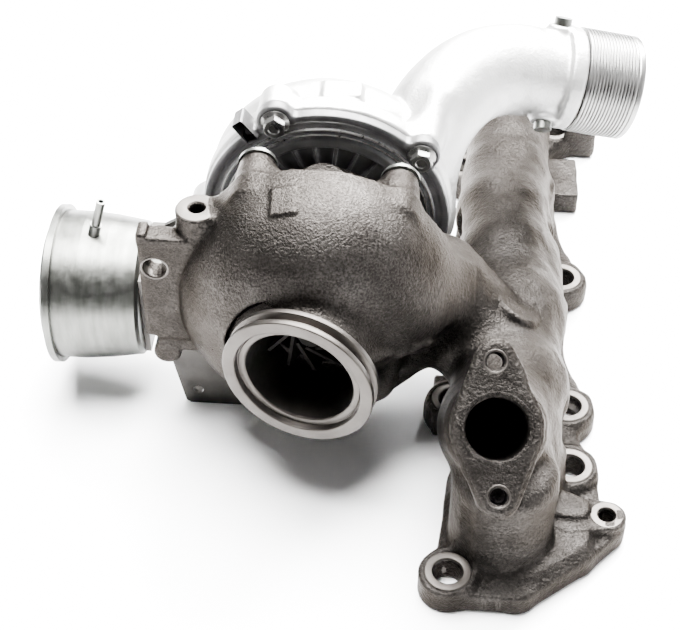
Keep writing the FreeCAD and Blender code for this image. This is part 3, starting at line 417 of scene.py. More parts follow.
def casting_field(step):
    field = Field((-178, -212, -3), (58, 178, 145), step)
    volute_mass(field)
    manifold_mass(field)
    near_end_mass(field)
    column_mass(field)
    chain(field, [(-8, -94, 43, 22), (-24, -80, 54, 23.5)], 5)
    chain(field, [(-63.7, -138.6, 85.0, 1.9), (-57.8, -132.0, 81.5, 1.9), (-51.7, -127.6, 79.5, 1.9),
                  (-46.3, -124.5, 79.0, 1.9), (-41.3, -119.9, 77.5, 1.9), (-37.6, -114.5, 73.3, 1.9)], 2.5)
    relief = Rod(OUTLET - OUTLET_DIR * 12.5, OUTLET_DIR, 34, 35.3, edge=1.5)
    field.cut(relief, 1.2)
    field.add(Rod(OUTLET - OUTLET_DIR * 34, OUTLET_DIR, 25, 34, 28.4), 5)
    field.add(Rod((SHAFT[0], -89, SHAFT[2]), YDIR, 14, 53, edge=1), 1.5)
    for degrees in REAR_BOLTS:
        field.add(Rod(around(REAR_BOLT_CIRCLE, degrees, -94), YDIR, 26, 7.8, edge=0.8), 5)
        field.add(Bar(around(51, degrees, -78), around(42, degrees, -100), 9.0, 14.0), 7)
    field.add(Block((-101.8, -102.8, 137.6), (11.5, 13.5, 3.0), (-0.188, -0.314, 0.93), (1, 0, 0.2), edge=0.5), 0.8)
    field.add(Rod((*TOP_BOSS, 92), UP, 33, 9.4, edge=0.8), 3)
    field.add(Block((-153.5, -99, 86), (24, 10, 57), edge=1.2), 1.5)
    field.add(Block((-163.4, -99, 113.5), (4.5, 10, 6.5), edge=0.8), 0.8)
    field.add(Block((-150, -97.5, 62), (22, 12, 27), edge=2), 3)
    field.add(Rod((-157, -104, 47), YDIR, 14, 6.2, edge=1.5), 2)
    for face, lean, radius in (((-25.0, -62.0, 76.0), (0.66, 0.21, 0.71), 10),
                               ((-1.0, -83.0, 65.5), (0.53, 0.21, 0.82), 11)):
        lean = np.array(lean) / np.linalg.norm(lean)
        field.add(Rod(np.array(face) - lean * 16, lean, 18.2, radius, edge=1.2), 1.4)
    field.cut(Rod((SHAFT[0], -75, SHAFT[2]), YDIR, 34, 48.3), 0.5)
    field.cut(Rod((SHAFT[0], -43.3, SHAFT[2]), YDIR, 46, 58.5), 0.5)
    for degrees in PLATE_BOLTS:
        field.cut(Rod(around(PLATE_BOLT_CIRCLE, degrees, -51), YDIR, 31, 8.4), 0.5)
    for degrees in REAR_BOLTS:
        field.cut(Rod(around(REAR_BOLT_CIRCLE, degrees, -68), YDIR, 20, 9.2), 0.5)
    # machined openings
    for x, y in STUDS:
        field.cut(Rod((x, y, -4), UP, 50, STUD_HOLE_R), 0.3)
        field.cut(Rod((x, y, FLANGE_T - 0.4), UP, 34, 10.4, edge=0.5), 0.6)
    field.cut(Rod((*EAR_THREAD, -4), UP, 30, M8_TAP_R), 0.3)
    field.cut(Rod((0, 0, -9), UP, 9, 400), 0.2)
    for y in PORTS:
        field.cut(Rod((0, y, -5), UP, 40, 15), 0.5)
    field.cut(Rod((0, -144, 34), YDIR, 288, 15), 0.5)
    field.cut(Rod(EGR + EGR_DIR * 2, -EGR_DIR, 64, EGR_BORE), 0.5)
    for dx, dv in EGR_EARS:
        field.cut(Rod(EGR + EGR_UP * dv + np.array((dx, 0, 0)) + EGR_DIR * 2, -EGR_DIR, 16, M8_TAP_R), 0.3)
    centre = (SHAFT[0], -98.5, SHAFT[2])
    field.cut(Ring(centre, YDIR, 33, 11), 0.5)
    field.cut(Rod((SHAFT[0], -100, SHAFT[2]), YDIR, 13, 44), 0.3)
    field.cut(Rod((SHAFT[0], -89, SHAFT[2]), YDIR, 22, 46), 0.3)
    field.cut(Rod((SHAFT[0], -123, SHAFT[2]), YDIR, 32, 22), 0.3)
    field.cut(Rod(OUTLET + OUTLET_DIR * 2, -OUTLET_DIR, 34, 24.6), 0.8)
    for degrees in REAR_BOLTS:
        field.cut(Rod(around(REAR_BOLT_CIRCLE, degrees, -88), YDIR, 24, 3.5), 0.2)
    field.cut(Rod((*TOP_BOSS, 104), UP, 24, 3.2), 0.3)
    field.cut(Rod((EAR_HOLE_X, -112, EAR_HOLE_Z), YDIR, 30, EAR_HOLE_R), 0.3)
    return field


STEP = 1.0
vertices, quads = casting_field(STEP).mesh()
uneven = 0.16 + 0.22 * np.clip((vertices[:, :1] + 30) / 15, 0, 1)
vertices += lattice_noise(vertices, 6.0, 4)[:, None] * uneven * (vertices[:, 2:] > 3)
casting = grid_mesh("casting", vertices, quads)
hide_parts("turbine_housing_manifold")


# ------------------------------------------------------------------ compressor housing and its backplate
ARC_PIECES = 9


def bent_path(points, bends):
    """Points along straight runs joined by arcs of the given radii."""
    points = [np.array(p, float) for p in points]
    path = [points[0]]
    for i, radius in enumerate(bends, 1):
        before = points[i - 1] - points[i]
        after = points[i + 1] - points[i]
        before /= np.linalg.norm(before)
        after /= np.linalg.norm(after)
        half_turn = (math.pi - math.acos(before.dot(after))) / 2
        first = points[i] + before * radius * math.tan(half_turn)
        middle = (before + after) / np.linalg.norm(before + after)
        hub = points[i] + middle * radius / math.cos(half_turn)
        arm = first - hub
        swing = np.cross(np.cross(arm, -before), arm)
        swing *= radius / np.linalg.norm(swing)
        for k in range(ARC_PIECES + 1):
            turn = 2 * half_turn * k / ARC_PIECES
            path.append(hub + arm * math.cos(turn) + swing * math.sin(turn))
    return path + [points[-1]]


def along_path(field, path, radius, soft=0.0):
    for a, b in zip(path[:-1], path[1:]):
        if soft:
            field.add(Bar(a, b, radius), soft)
        else:
            field.cut(Bar(a, b, radius), 0.3)


SLEEVE_DIR = np.array((0.967, 0.1187, -0.225)) / np.linalg.norm((0.967, 0.1187, -0.225))
ELBOW_END = np.array((22.9, 30.9, 112.9))
ELBOW = bent_path([(-52, -14, 60), (-49, -10, 112), ELBOW_END - SLEEVE_DIR * 45, ELBOW_END - SLEEVE_DIR * 3],
                  [30.0, 44.0])


def compressor_field(step):
    """Scroll, flange with its ears, elbow with its screw bosses and the webs between them."""
    sx, sz = SHAFT[0], SHAFT[2]
    field = Field((-160, -38, 10), (40, 62, 152), step)
    field.add(Ring((sx, -17, sz), YDIR, 38, 18.5), 1)
    field.add(Rod((sx, -33, sz), YDIR, 30, 40, edge=3), 4)
    field.add(Rod((sx, -35.9, sz), YDIR, 9, 58, edge=1.4), 3)
    field.add(Rod((sx, -10, sz), YDIR, 16, 27.6, edge=1), 4)
    field.add(Rod((sx, -10, sz), YDIR, 32, 25, edge=0.8), 1)
    field.add(Rod((sx, 8, sz), YDIR, 14, 26, edge=0.8), 0.8)
    along_path(field, ELBOW, 21, 1.5)
    field.add(Bar((-52, -15, 62), (-70, -17, 30), 20, 16), 8)
    for degrees in PLATE_BOLTS:
        field.add(Rod(around(PLATE_BOLT_CIRCLE, degrees, -35.9), YDIR, 12.5, 8.0, edge=1.2), 3.5)
        field.add(Bar(around(55, degrees, -26), around(44, degrees, -16), 7.0, 9.0), 6)
    field.add(Bar((-46, -29, 116), (-40, -12, 128), 7, 6), 6)
    field.add(Block((-84, -20, 134.6), (18, 12, 6), edge=1.2), 1.5)
    field.add(Rod(ELBOW_END - SLEEVE_DIR * 8, SLEEVE_DIR, 8, 24.4, edge=1.0), 2)
    side = np.cross(SLEEVE_DIR, UP)
    side /= np.linalg.norm(side)
    over = np.cross(side, SLEEVE_DIR)
    for away, back in ((side * 0.8 - over * 0.6, 13.0), (over * 0.92 - side * 0.38, 11.0)):
        away = away / np.linalg.norm(away)
        foot = ELBOW_END - SLEEVE_DIR * back + away * 12
        field.add(Rod(foot, away, 12.2, 6.4, edge=0.8), 3)
        field.cut(Rod(foot + away * 5, away, 10, 2.1), 0.2)
    inner = bent_path([(-52, -17, 72), (-49, -10, 112), ELBOW_END - SLEEVE_DIR * 45, ELBOW_END + SLEEVE_DIR * 3],
                      [30.0, 44.0])
    along_path(field, inner, 17.5)
    field.cut(Ring((sx, -17, sz), YDIR, 38, 14), 0.3)
    field.cut(Rod((sx, -37, sz), YDIR, 4, 52.7), 0.3)
    field.cut(Rod((sx, -34, sz), YDIR, 4, 43), 0.3)
    field.cut(Rod((sx, -31, sz), YDIR, 3.3, 25.2), 0.2)
    field.cut(Rod((sx, -27.7, sz), YDIR, 12, 25.2, 18.4), 0.2)
    field.cut(Rod((sx, -17, sz), YDIR, 32, 18.4), 0.2)
    field.cut(Rod((sx, -5, sz), YDIR, 9.5, 18.4, 21), 0.2)
    field.cut(Rod((sx, 4, sz), YDIR, 22, 21), 0.3)
    return field


def backplate_field(step):
    """Dark plate with ears, stepped rings and a ring of pockets between ribs, seen from the bearing side."""
    sx, sz = SHAFT[0], SHAFT[2]
    field = Field((-160, -44, 10), (-20, -31, 150), step)
    field.add(Rod((sx, -41.3, sz), YDIR, 5.3, 57, edge=0.6), 0.3)
    field.add(Rod((sx, -41.3, sz), YDIR, 8.3, 52.4, edge=0.3), 0.3)
    for degrees in PLATE_BOLTS:
        field.add(Rod(around(PLATE_BOLT_CIRCLE, degrees, -41.6), YDIR, 5.6, 8.3, edge=0.7), 2.5)
    field.add(Block(around(59, 127, -38.9), (13, 5.6, 13), YDIR, around(1, 127, 0) - SHAFT, edge=0.9), 1.5)
    field.cut(Rod((sx, -44, sz), YDIR, 3.2, 53.5), 0.2)
    field.add(Rod((sx, -42, sz), YDIR, 4, 50, edge=0.5), 0.2)
    field.cut(Rod((sx, -44, sz), YDIR, 4.2, 46.8), 0.2)
    field.add(Rod((sx, -40.9, sz), YDIR, 3, 44.0, edge=0.4), 0.2)
    field.cut(Rod((sx, -44, sz), YDIR, 7.0, 39.0), 0.2)
    for k in range(24):
        middle = around(31, 15.0 * k + 8, -38.0)
        field.add(Block(middle, (17, 1.6, 3.0), YDIR, middle - (sx, -38.0, sz), edge=0.4), 1.0)
    field.add(Rod((sx, -42, sz), YDIR, 6, 24.5, edge=0.6), 0.6)
    for degrees in PLATE_BOLTS:
        field.cut(Rod(around(PLATE_BOLT_CIRCLE, degrees, -45), YDIR, 14, 3.3), 0.2)
    field.cut(Rod((sx, -45, sz), YDIR, 14, 7.9), 0.2)
    return field


def field_piece(name, field, node, rough=0.0):
    points, faces = field.mesh()
    if rough:
        points += lattice_noise(points, 9.0, 11)[:, None] * rough
    piece = grid_mesh(name, points, faces)
    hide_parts(node)
    return piece


compressor = field_piece("compressor_cover", compressor_field(STEP), "compressor_housing", 0.15)
backplate = field_piece("back_cover", backplate_field(STEP * 0.6), "compressor_backplate")


# ------------------------------------------------------------------ materials
class Shader:
    """Small helper for building one node material; every value is set straight on a socket."""

    def __init__(self, name):
        self.material = bpy.data.materials.new(name)
        self.material.use_nodes = True
        self.tree = self.material.node_tree
        self.surface = self.tree.nodes["Principled BSDF"]
        self.place = self.tree.nodes.new("ShaderNodeTexCoord").outputs["Object"]

    def node(self, kind, **values):
        made = self.tree.nodes.new(kind)
        for key, value in values.items():
            setattr(made, key, value)
        return made

    def link(self, source, target):
        self.tree.links.new(source, target)

    def noise(self, scale, detail, rough=0.55, stretch=None):
        made = self.node("ShaderNodeTexNoise")
        made.inputs["Scale"].default_value = scale
        made.inputs["Detail"].default_value = detail
        made.inputs["Roughness"].default_value = rough
        source = self.place
        if stretch:
            mapping = self.node("ShaderNodeMapping")
            mapping.inputs["Scale"].default_value = stretch
            self.link(source, mapping.inputs["Vector"])
            source = mapping.outputs["Vector"]
        self.link(source, made.inputs["Vector"])
        return made.outputs["Fac"]

    def ramp(self, source, *stops):
        made = self.node("ShaderNodeValToRGB")
        band = made.color_ramp
        while len(band.elements) < len(stops):
            band.elements.new(0.5)
        for element, (at, colour) in zip(band.elements, stops):
            element.position = at
            element.color = (colour, colour, colour, 1) if np.isscalar(colour) else (*colour, 1)
        self.link(source, made.inputs["Fac"])
        return made.outputs["Color"]

    def tint(self, colour, factor):
        """The colour times a grey factor."""
        made = self.node("ShaderNodeVectorMath", operation="SCALE")
        self.link(colour, made.inputs["Vector"])
        self.link(factor, made.inputs["Scale"])
        return made.outputs["Vector"]

    def bump(self, source, depth, strength=1.0, under=None):
        made = self.node("ShaderNodeBump")
        made.inputs["Strength"].default_value = strength
        made.inputs["Distance"].default_value = depth * MM
        self.link(source, made.inputs["Height"])
        if under:
            self.link(under, made.inputs["Normal"])
        return made.outputs["Normal"]

    def range(self, source, low, high, out_low, out_high):
        made = self.node("ShaderNodeMapRange")
        for key, value in (("From Min", low), ("From Max", high), ("To Min", out_low), ("To Max", out_high)):
            made.inputs[key].default_value = value
        self.link(source, made.inputs["Value"])
        return made.outputs["Result"]

    def math(self, kind, a, b=None):
        made = self.node("ShaderNodeMath", operation=kind)
        for socket, value in zip(made.inputs, (a, b)):
            if isinstance(value, (int, float)):
                socket.default_value = value
            elif value is not None:
                self.link(value, socket)
        return made.outputs["Value"]

    def axis(self, name):
        made = self.node("ShaderNodeSeparateXYZ")
        self.link(self.place, made.inputs["Vector"])
        return made.outputs[name]

    def finish(self, colour, rough, normal=None, metal=1.0, **sockets):
        self.link(colour, self.surface.inputs["Base Color"])
        if isinstance(rough, float):
            self.surface.inputs["Roughness"].default_value = rough
        else:
            self.link(rough, self.surface.inputs["Roughness"])
        if normal:
            self.link(normal, self.surface.inputs["Normal"])
        self.surface.inputs["Metallic"].default_value = metal
        for key, value in sockets.items():
            self.surface.inputs[key.replace("_", " ")].default_value = value
        return self.material


def sand_cast_iron():
    """Grainy grey-brown iron: fine on the volute, coarse and lumpy on the manifold."""
    s = Shader("sand_cast_iron")
    tone = s.ramp(s.noise(34, 5, 0.6), (0.30, (0.0105, 0.0094, 0.0085)), (0.52, (0.0180, 0.0163, 0.0149)),
                  (0.76, (0.0310, 0.0285, 0.0264)))
    # Pointiness tint: creases and hollows darkened as painted shade, ridges and edges lightened.
    crease_shade_and_light_edges = s.node("ShaderNodeNewGeometry").outputs["Pointiness"]
    tone = s.tint(tone, s.range(crease_shade_and_light_edges, 0.44, 0.56, 0.45, 1.5))
    coarse = s.range(s.axis("X"), -0.070, -0.025, 0.35, 1.0)
    grain = s.noise(1050, 4, 0.62)
    pits = s.noise(520, 3, 0.6)
    tone = s.tint(tone, s.range(grain, 0.38, 0.62, 0.55, 1.50))
    tone = s.tint(tone, s.range(coarse, 0.35, 1.0, 1.0, 0.62))
    first = s.bump(s.math("MULTIPLY", pits, coarse), 0.75, 1.0)
    normal = s.bump(grain, 0.42, 1.0, under=first)
    rough = s.math("ADD", s.range(s.noise(120, 3), 0.3, 0.7, 0.22, 0.31), s.math("MULTIPLY", coarse, 0.14))
    return s.finish(tone, rough, normal, metal=1.0, Specular_Tint=(0.56, 0.545, 0.53, 1))


TURNING_PITCH = 0.45


def turned(name, dark, light, rough):
    """Machined face: faint turning marks round the piece's own axis, over a little tone change."""
    s = Shader(name)
    tone = s.ramp(s.noise(60, 4), (0.35, dark), (0.7, light))
    flat = s.node("ShaderNodeSeparateXYZ")
    s.link(s.place, flat.inputs["Vector"])
    square = s.math("ADD", s.math("MULTIPLY", flat.outputs["X"], flat.outputs["X"]),
                    s.math("MULTIPLY", flat.outputs["Y"], flat.outputs["Y"]))
    radius = s.math("SQRT", square)
    wave = s.math("SINE", s.math("MULTIPLY", radius, 2 * math.pi / (TURNING_PITCH * MM)))
    normal = s.bump(wave, 0.012, 1.0, under=s.bump(s.noise(1500, 2), 0.03))
    return s.finish(tone, s.range(s.noise(300, 3), 0.3, 0.7, rough - 0.05, rough + 0.08), normal)


def cast_aluminium():
    s = Shader("blasted_aluminium")
    tone = s.ramp(s.noise(30, 4), (0.35, (0.40, 0.398, 0.39)), (0.65, (0.48, 0.477, 0.47)))
    normal = s.bump(s.noise(1000, 3, 0.6), 0.16, 1.0, under=s.bump(s.noise(260, 3), 0.22))
    return s.finish(tone, s.range(s.noise(200, 3), 0.3, 0.7, 0.40, 0.52), normal, metal=0.9)


def plain_metal(name, dark, light, rough, metal=1.0, grain=0.03, stretch=None, scale=90):
    s = Shader(name)
    tone = s.ramp(s.noise(scale, 4, stretch=stretch), (0.32, dark), (0.68, light))
    normal = s.bump(s.noise(1300, 3), grain)
    return s.finish(tone, s.range(s.noise(240, 3), 0.3, 0.7, rough - 0.05, rough + 0.07), normal, metal=metal)


def dark_plate():
    s = Shader("dark_cast_plate")
    tone = s.ramp(s.noise(55, 4), (0.35, (0.040, 0.039, 0.040)), (0.7, (0.075, 0.073, 0.071)))
    normal = s.bump(s.noise(800, 3), 0.10)
    return s.finish(tone, s.range(s.noise(200, 3), 0.3, 0.7, 0.34, 0.48), normal, metal=0.55)


def black_rubber():
    s = Shader("moulded_rubber")
    tone = s.ramp(s.noise(80, 3), (0.3, 0.018), (0.7, 0.034))
    return s.finish(tone, 0.62, s.bump(s.noise(900, 3), 0.05), metal=0.0)


def pale_floor():
    s = Shader("pale_floor")
    tone = s.ramp(s.noise(0.6, 2), (0.3, (0.955, 0.955, 0.965)), (0.7, (0.975, 0.975, 0.98)))
    return s.finish(tone, 0.62, metal=0.0, Specular_IOR_Level=0.25)


LOOKS = {
    "cast_iron": sand_cast_iron(),
    "machined_iron": turned("machined_iron", (0.038, 0.034, 0.031), (0.058, 0.053, 0.048), 0.42),
    "cast_aluminium": cast_aluminium(),
    "machined_aluminium": plain_metal("machined_aluminium", (0.16, 0.158, 0.154), (0.21, 0.208, 0.203), 0.32,
                                      grain=0.01),
    "plate_dark": dark_plate(),
    "zinc_steel": plain_metal("satin_zinc", (0.070, 0.0715, 0.065), (0.115, 0.1165, 0.108), 0.33, grain=0.03,
                              stretch=(3.0, 0.6, 0.6), scale=70),
    "steel": plain_metal("turned_steel", (0.42, 0.41, 0.40), (0.58, 0.57, 0.56), 0.3),
    "dark_steel": plain_metal("phosphated_steel", (0.022, 0.020, 0.018), (0.042, 0.039, 0.036), 0.42, metal=0.85),
    "bolt_black": plain_metal("black_oxide", (0.06, 0.059, 0.057), (0.14, 0.137, 0.13), 0.30, metal=0.95),
    # turbine wheel painted near black: painted shade of the deep bore, not the alloy's own grey
    "wheel_alloy": plain_metal("wheel_painted_shade", (0.0030, 0.0028, 0.0026), (0.0060, 0.0055, 0.0050), 0.60),
    "bronze": plain_metal("bearing_bronze", (0.52, 0.36, 0.17), (0.66, 0.48, 0.26), 0.3),
    "rubber_black": black_rubber(),
    # thread walls painted near black: painted shade inside the tapped holes, over dark steel
    "thread_iron": plain_metal("thread_painted_shade", (0.0030, 0.0027, 0.0024), (0.0070, 0.0063, 0.0056), 0.5),
}


def dress(obj, look):
    obj.data.materials.clear()
    obj.data.materials.append(LOOKS[look])


slots = {part["node"]: part["material_slot"] for part in frame["record"]["subparts"]}
for node, obj in nodes.items():
    dress(obj, slots[node])
dress(casting, "cast_iron")
dress(compressor, "cast_aluminium")
dress(backplate, "plate_dark")


# ------------------------------------------------------------------ turned and bolted pieces
def placed(base, axis):
    """Matrix that puts local z on the given axis, in metres."""
    part = Part(base, axis)
    turn = Matrix([[float(part.axes[col][row]) for col in range(3)] for row in range(3)])
    return Matrix.Translation(Vector([float(c) * MM for c in base])) @ turn.to_4x4()


def eased(profile, size):
    """The closed profile with each corner replaced by a short two-segment round."""
    points = [np.array(p, float) for p in profile]
    count = len(points)
    out = []
    for i, point in enumerate(points):
        before, after = points[i - 1] - point, points[(i + 1) % count] - point
        reach = min(size, np.linalg.norm(before) * 0.4, np.linalg.norm(after) * 0.4)
        a = point + before / np.linalg.norm(before) * reach
        b = point + after / np.linalg.norm(after) * reach
        out += [a, (a + b) / 4 + point / 2, b]
    return out


def mesh_piece(name, vertices, faces, matrix, look, sharp=38):
    """Mesh object on the housing, with creases kept sharp."""
    data = bpy.data.meshes.new(name)
    data.from_pydata([tuple(float(c) * MM for c in v) for v in vertices], [], faces)
    data.validate()
    data.polygons.foreach_set("use_smooth", np.ones(len(data.polygons), bool))
    data.set_sharp_from_angle(angle=math.radians(sharp))
    obj = bpy.data.objects.new(name, data)
    bpy.context.scene.collection.objects.link(obj)
    obj.matrix_world = matrix
    dress(obj, look)
    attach(obj, "housing")
    return obj


def turned_piece(name, profile, base, axis, look, steps=96, ease=0.25):
    """Turned piece from a closed (radius, height) loop that stays clear of the axis."""
    points = eased(profile, ease)
    count = len(points)
    angles = np.linspace(0, 2 * math.pi, steps, endpoint=False)
    vertices = [(radius * math.cos(a), radius * math.sin(a), height) for radius, height in points for a in angles]
    faces = []
    for i in range(count):
        low, high = i * steps, (i + 1) % count * steps
        for k in range(steps):
            n = (k + 1) % steps
            faces.append([low + k, low + n, high + n, high + k])
    return mesh_piece(name, vertices, faces, placed(base, axis), look)


def stacked_faces(rows, steps):
    """Faces between rings of points stacked one above the next, with a cap at each end."""
    faces = [[i * steps + k, i * steps + (k + 1) % steps, (i + 1) * steps + (k + 1) % steps, (i + 1) * steps + k]
             for i in range(rows - 1) for k in range(steps)]
    last = (rows - 1) * steps
    faces.append([last + k for k in range(steps)])
    faces.append([k for k in reversed(range(steps))])
    return faces


def hex_head(across, height, base, axis, collar=0.0, spin=0.0):
    """Bolt head with a chamfered crown, a shallow dish and, if asked, a flange under it: (vertices, faces)."""
    steps = 72
    half = across / 2
    crown = half * 0.93

    def flat(a):
        return half / math.cos((a + math.pi / 6) % (math.pi / 3) - math.pi / 6)

    rows = [lambda a: (flat(a), 0.0), lambda a: (flat(a), 0.2)]
    if collar:
        rows = [lambda a: (collar, 0.0), lambda a: (collar, 0.7), lambda a: (collar * 0.93, 1.1),
                lambda a: (flat(a) * 1.02, 1.9), lambda a: (flat(a), 2.1)]
    rows += [lambda a: (flat(a), height - (flat(a) - crown) * 0.58), lambda a: (crown, height),
             lambda a: (crown * 0.62, height), lambda a: (crown * 0.52, height - 0.45)]
    frame_axes = Part(base, axis)
    vertices = []
    for row in rows:
        for k in range(steps):
            a = 2 * math.pi * k / steps
            radius, z = row(a)
            local = np.array((radius * math.cos(a + spin), radius * math.sin(a + spin), z))
            vertices.append(frame_axes.base + local @ frame_axes.axes)
    return vertices, stacked_faces(len(rows), steps)


SHANK_STEPS = 32


def shank(radius, start, length, axis):
    """Plain round stem under a head: (vertices, faces)."""
    frame_axes = Part(start, axis)
    vertices = []
    for reach, size in ((0.0, radius), (length - 0.8, radius), (length, radius - 0.6)):
        for k in range(SHANK_STEPS):
            a = 2 * math.pi * k / SHANK_STEPS
            local = np.array((size * math.cos(a), size * math.sin(a), reach))
            vertices.append(frame_axes.base + local @ frame_axes.axes)
    return vertices, stacked_faces(3, SHANK_STEPS)


def joined(name, node, shells, look):
    """One piece from several closed shells, standing in for one node."""
    vertices, faces = [], []
    for points, loops in shells:
        shift = len(vertices)
        vertices += list(points)
        faces += [[v + shift for v in loop] for loop in loops]
    piece = mesh_piece(name, vertices, faces, Matrix.Identity(4), look, sharp=25)
    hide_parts(node)
    return piece


def outlet_sleeve():
    """Grooved sleeve with a smooth collar at each end."""
    outer = [(25.0, 0.4), (25.0, 1.0)]
    for k in range(14):
        low = 1.1 + k * 1.6
        outer += [(25.0, low), (24.45, low + 0.3), (24.45, low + 0.65), (25.0, low + 0.95)]
    mouth = [(25.0, 23.9), (24.7, 24.3), (25.0, 24.8), (25.0, 26.9), (24.5, 27.5), (20.8, 27.5), (20.0, 26.8)]
    profile = [(20.0, 0.3), (20.6, 0.0), (24.6, 0.0)] + outer + mouth
    piece = turned_piece("ribbed_sleeve", profile, ELBOW_END + SLEEVE_DIR * 0.1, SLEEVE_DIR, "machined_aluminium",
                         steps=160, ease=0.12)
    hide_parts("outlet_sleeve")


def bolts():
    """Hexagon heads and shanks of the backplate, turbine housing and foot bolts."""
    toward, away = np.array((0.0, -1.0, 0.0)), np.array((0.0, 1.0, 0.0))
    shells = []
    for i, degrees in enumerate(PLATE_BOLTS):
        seat = around(PLATE_BOLT_CIRCLE, degrees, -41.9 - (2.65 if i in (2, 3) else 0))
        shells += [hex_head(9, 5.5, seat, toward, 6.4, spin=0.3 + 0.7 * i), shank(2.5, seat + away * 0.3, 14, away)]
    joined("backplate_bolt_heads", "backplate_bolts", shells, "bolt_black")
    shells = []
    for i, degrees in enumerate(REAR_BOLTS):
        seat = around(REAR_BOLT_CIRCLE, degrees, -66.3)
        shells += [hex_head(10, 5, seat, away, 0.0, spin=0.5 * i), shank(3.2, seat + toward * 0.3, 13, toward)]
    joined("housing_bolt_heads", "turbine_housing_bolts", shells, "zinc_steel")
    seat = np.array((-157.0, -86.9, 47.0))
    shells = [hex_head(8, 3.5, seat, away), shank(2.5, seat + toward * 0.3, 8.5, toward)]
    joined("foot_bolt_head", "foot_bolt", shells, "dark_steel")


def outlet_flange():
    """Twin-rim clamp flange with its face ring, step and bore."""
    turned_piece("outlet_flange", [
        (24, -32), (24, -3.4), (24.7, -2.7), (26.8, -2.7), (27.0, -3.3), (27.6, -3.3), (27.8, -0.5), (28.3, 0),
        (33.1, 0), (33.5, -0.5), (33.5, -2.5), (31.2, -3.5), (30.4, -3.8), (30.4, -5.6), (31.2, -5.9),
        (33.5, -6.9), (33.5, -9.0), (33.0, -9.5), (29.6, -9.8), (28.8, -12.5), (28.2, -32)],
        OUTLET, OUTLET_DIR, "machined_iron", steps=160, ease=0.18)


def stud_seats():
    """Spot-faced ring and reamed wall of each stud hole."""
    top = FLANGE_T
    for i, (x, y) in enumerate(STUDS):
        turned_piece("stud_seat_%d" % (i + 1), [
            (STUD_HOLE_R, 0.5), (STUD_HOLE_R, top - 0.5), (6.8, top + 0.1), (9.7, top + 0.1), (10.2, top - 0.3),
            (10.2, top - 2), (7.0, top - 3), (7.0, 0.5)], (x, y, 0), UP, "machined_iron")


def port_faces():
    """Machined land round the recirculation port, its two threads, and the small tapped and plain holes."""
    turned_piece("port_land", [(EGR_BORE, -30), (EGR_BORE, -0.6), (13.0, 0.3), (14.4, 0.45), (15.0, 0.0), (15.0, -2),
                               (13.3, -3), (13.3, -30)], EGR, EGR_DIR, "cast_iron")
    for i, (dx, dv) in enumerate(EGR_EARS):
        tapped_hole("port_thread_%d" % (i + 1), EGR + EGR_UP * dv + np.array((dx, 0, 0)), EGR_DIR, M8_TAP_R, 13, 5.0)
    tapped_hole("ear_thread", (*EAR_THREAD, 15), UP, M8_TAP_R, 14.5, 7.2)
    tapped_hole("top_boss_face", (*TOP_BOSS, 125), UP, 3.2, 20, 8.9)
    turned_piece("ear_bore", [(EAR_HOLE_R, 0.4), (EAR_HOLE_R, 9.6), (5.5, 10.1), (6.2, 10.1), (6.4, 9.7), (5.8, 9),
                              (5.8, 1), (6.4, 0.4)],
                 (EAR_HOLE_X, -94, EAR_HOLE_Z), (0, -1, 0), "machined_iron")


def tapped_hole(name, mouth, axis, radius, depth, land):
    """Flat machined land with a countersunk hole whose wall carries thread grooves."""
    crests = int(depth / 1.25)
    wall = []
    for k in range(crests):
        low = -depth + k * 1.25
        wall += [(radius + 0.45, low), (radius, low + 0.62)]
    wall = [(r, z) for r, z in wall if z < -1.2]
    # thread wall in the near-black thread look: painted shade inside the hole
    turned_piece(name, wall + [(radius + 0.2, -0.95), (radius + 1.1, -1.1), (radius + 1.0, -depth)], mouth, axis,
                 "thread_iron", steps=64, ease=0.06)
    turned_piece(name + "_land", [(radius + 0.3, -0.85), (radius + 0.9, 0.12), (land - 0.3, 0.12), (land, -0.15),
                                  (land, -1.0), (radius + 1.2, -1.0)], mouth, axis, "machined_iron", steps=64,
                 ease=0.06)


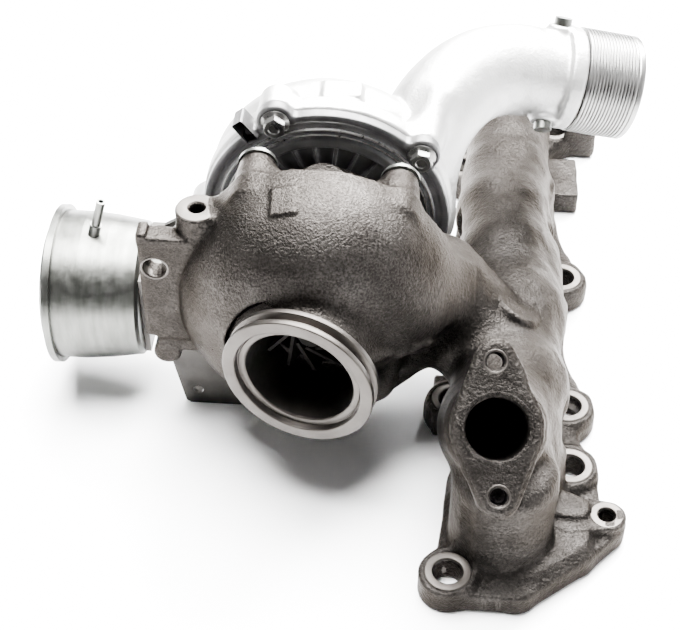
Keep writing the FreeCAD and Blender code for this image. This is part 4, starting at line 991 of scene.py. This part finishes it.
def plate_highlight_bands():
    """Two bright steel bands on the step edges of the backplate: painted highlight where the edges catch the light.
    """
    for name, inner, outer in (("plate_highlight_band_outer", 49.3, 50.1), ("plate_highlight_band_inner", 46.7, 47.3)):
        turned_piece(name, [(inner, -42.2), (outer, -42.2), (outer, -41.0), (inner, -41.0)], (SHAFT[0], 0, SHAFT[2]),
                     YDIR, "steel", steps=160, ease=0.1)


outlet_flange()
stud_seats()
plate_highlight_bands()
port_faces()
bolts()
outlet_sleeve()


# ------------------------------------------------------------------ floor, light, world
def add_floor():
    bpy.ops.mesh.primitive_plane_add(size=14)
    floor = bpy.context.object
    floor.name = "floor"
    floor.data.materials.append(pale_floor())


def add_light(name, place, target, size, power):
    lamp = bpy.data.lights.new(name, "AREA")
    lamp.shape = "RECTANGLE"
    lamp.size, lamp.size_y = size
    lamp.energy = power
    holder = bpy.data.objects.new(name, lamp)
    holder.location = place
    holder.rotation_mode = "QUATERNION"
    holder.rotation_quaternion = (Vector(target) - Vector(place)).to_track_quat("-Z", "Y")
    bpy.context.scene.collection.objects.link(holder)


def add_world(front, back):
    """Studio surround: dim towards the front, bright overhead and behind."""
    world = bpy.data.worlds.new("studio")
    bpy.context.scene.world = world
    world.use_nodes = True
    tree = world.node_tree
    place = tree.nodes.new("ShaderNodeTexCoord")
    parts = tree.nodes.new("ShaderNodeSeparateXYZ")
    tree.links.new(place.outputs["Generated"], parts.inputs["Vector"])
    span = tree.nodes.new("ShaderNodeMapRange")
    span.interpolation_type = "SMOOTHSTEP"
    for key, value in (("From Min", -0.65), ("From Max", 0.45), ("To Min", front), ("To Max", back)):
        span.inputs[key].default_value = value
    tree.links.new(parts.outputs["Y"], span.inputs["Value"])
    glow = tree.nodes["Background"]
    glow.inputs["Color"].default_value = (1.0, 0.995, 0.985, 1)
    tree.links.new(span.outputs["Result"], glow.inputs["Strength"])


add_floor()
add_light("back_key", (0.20, 0.85, 0.95), (-0.04, -0.02, 0.05), (1.2, 0.7), 400)
add_light("top_soft", (-0.15, 0.15, 1.35), (-0.05, -0.03, 0.05), (1.1, 0.8), 330)
add_light("side_fill", (1.1, -0.45, 0.55), (-0.02, -0.08, 0.05), (0.8, 0.8), 14)
add_world(0.10, 1.0)
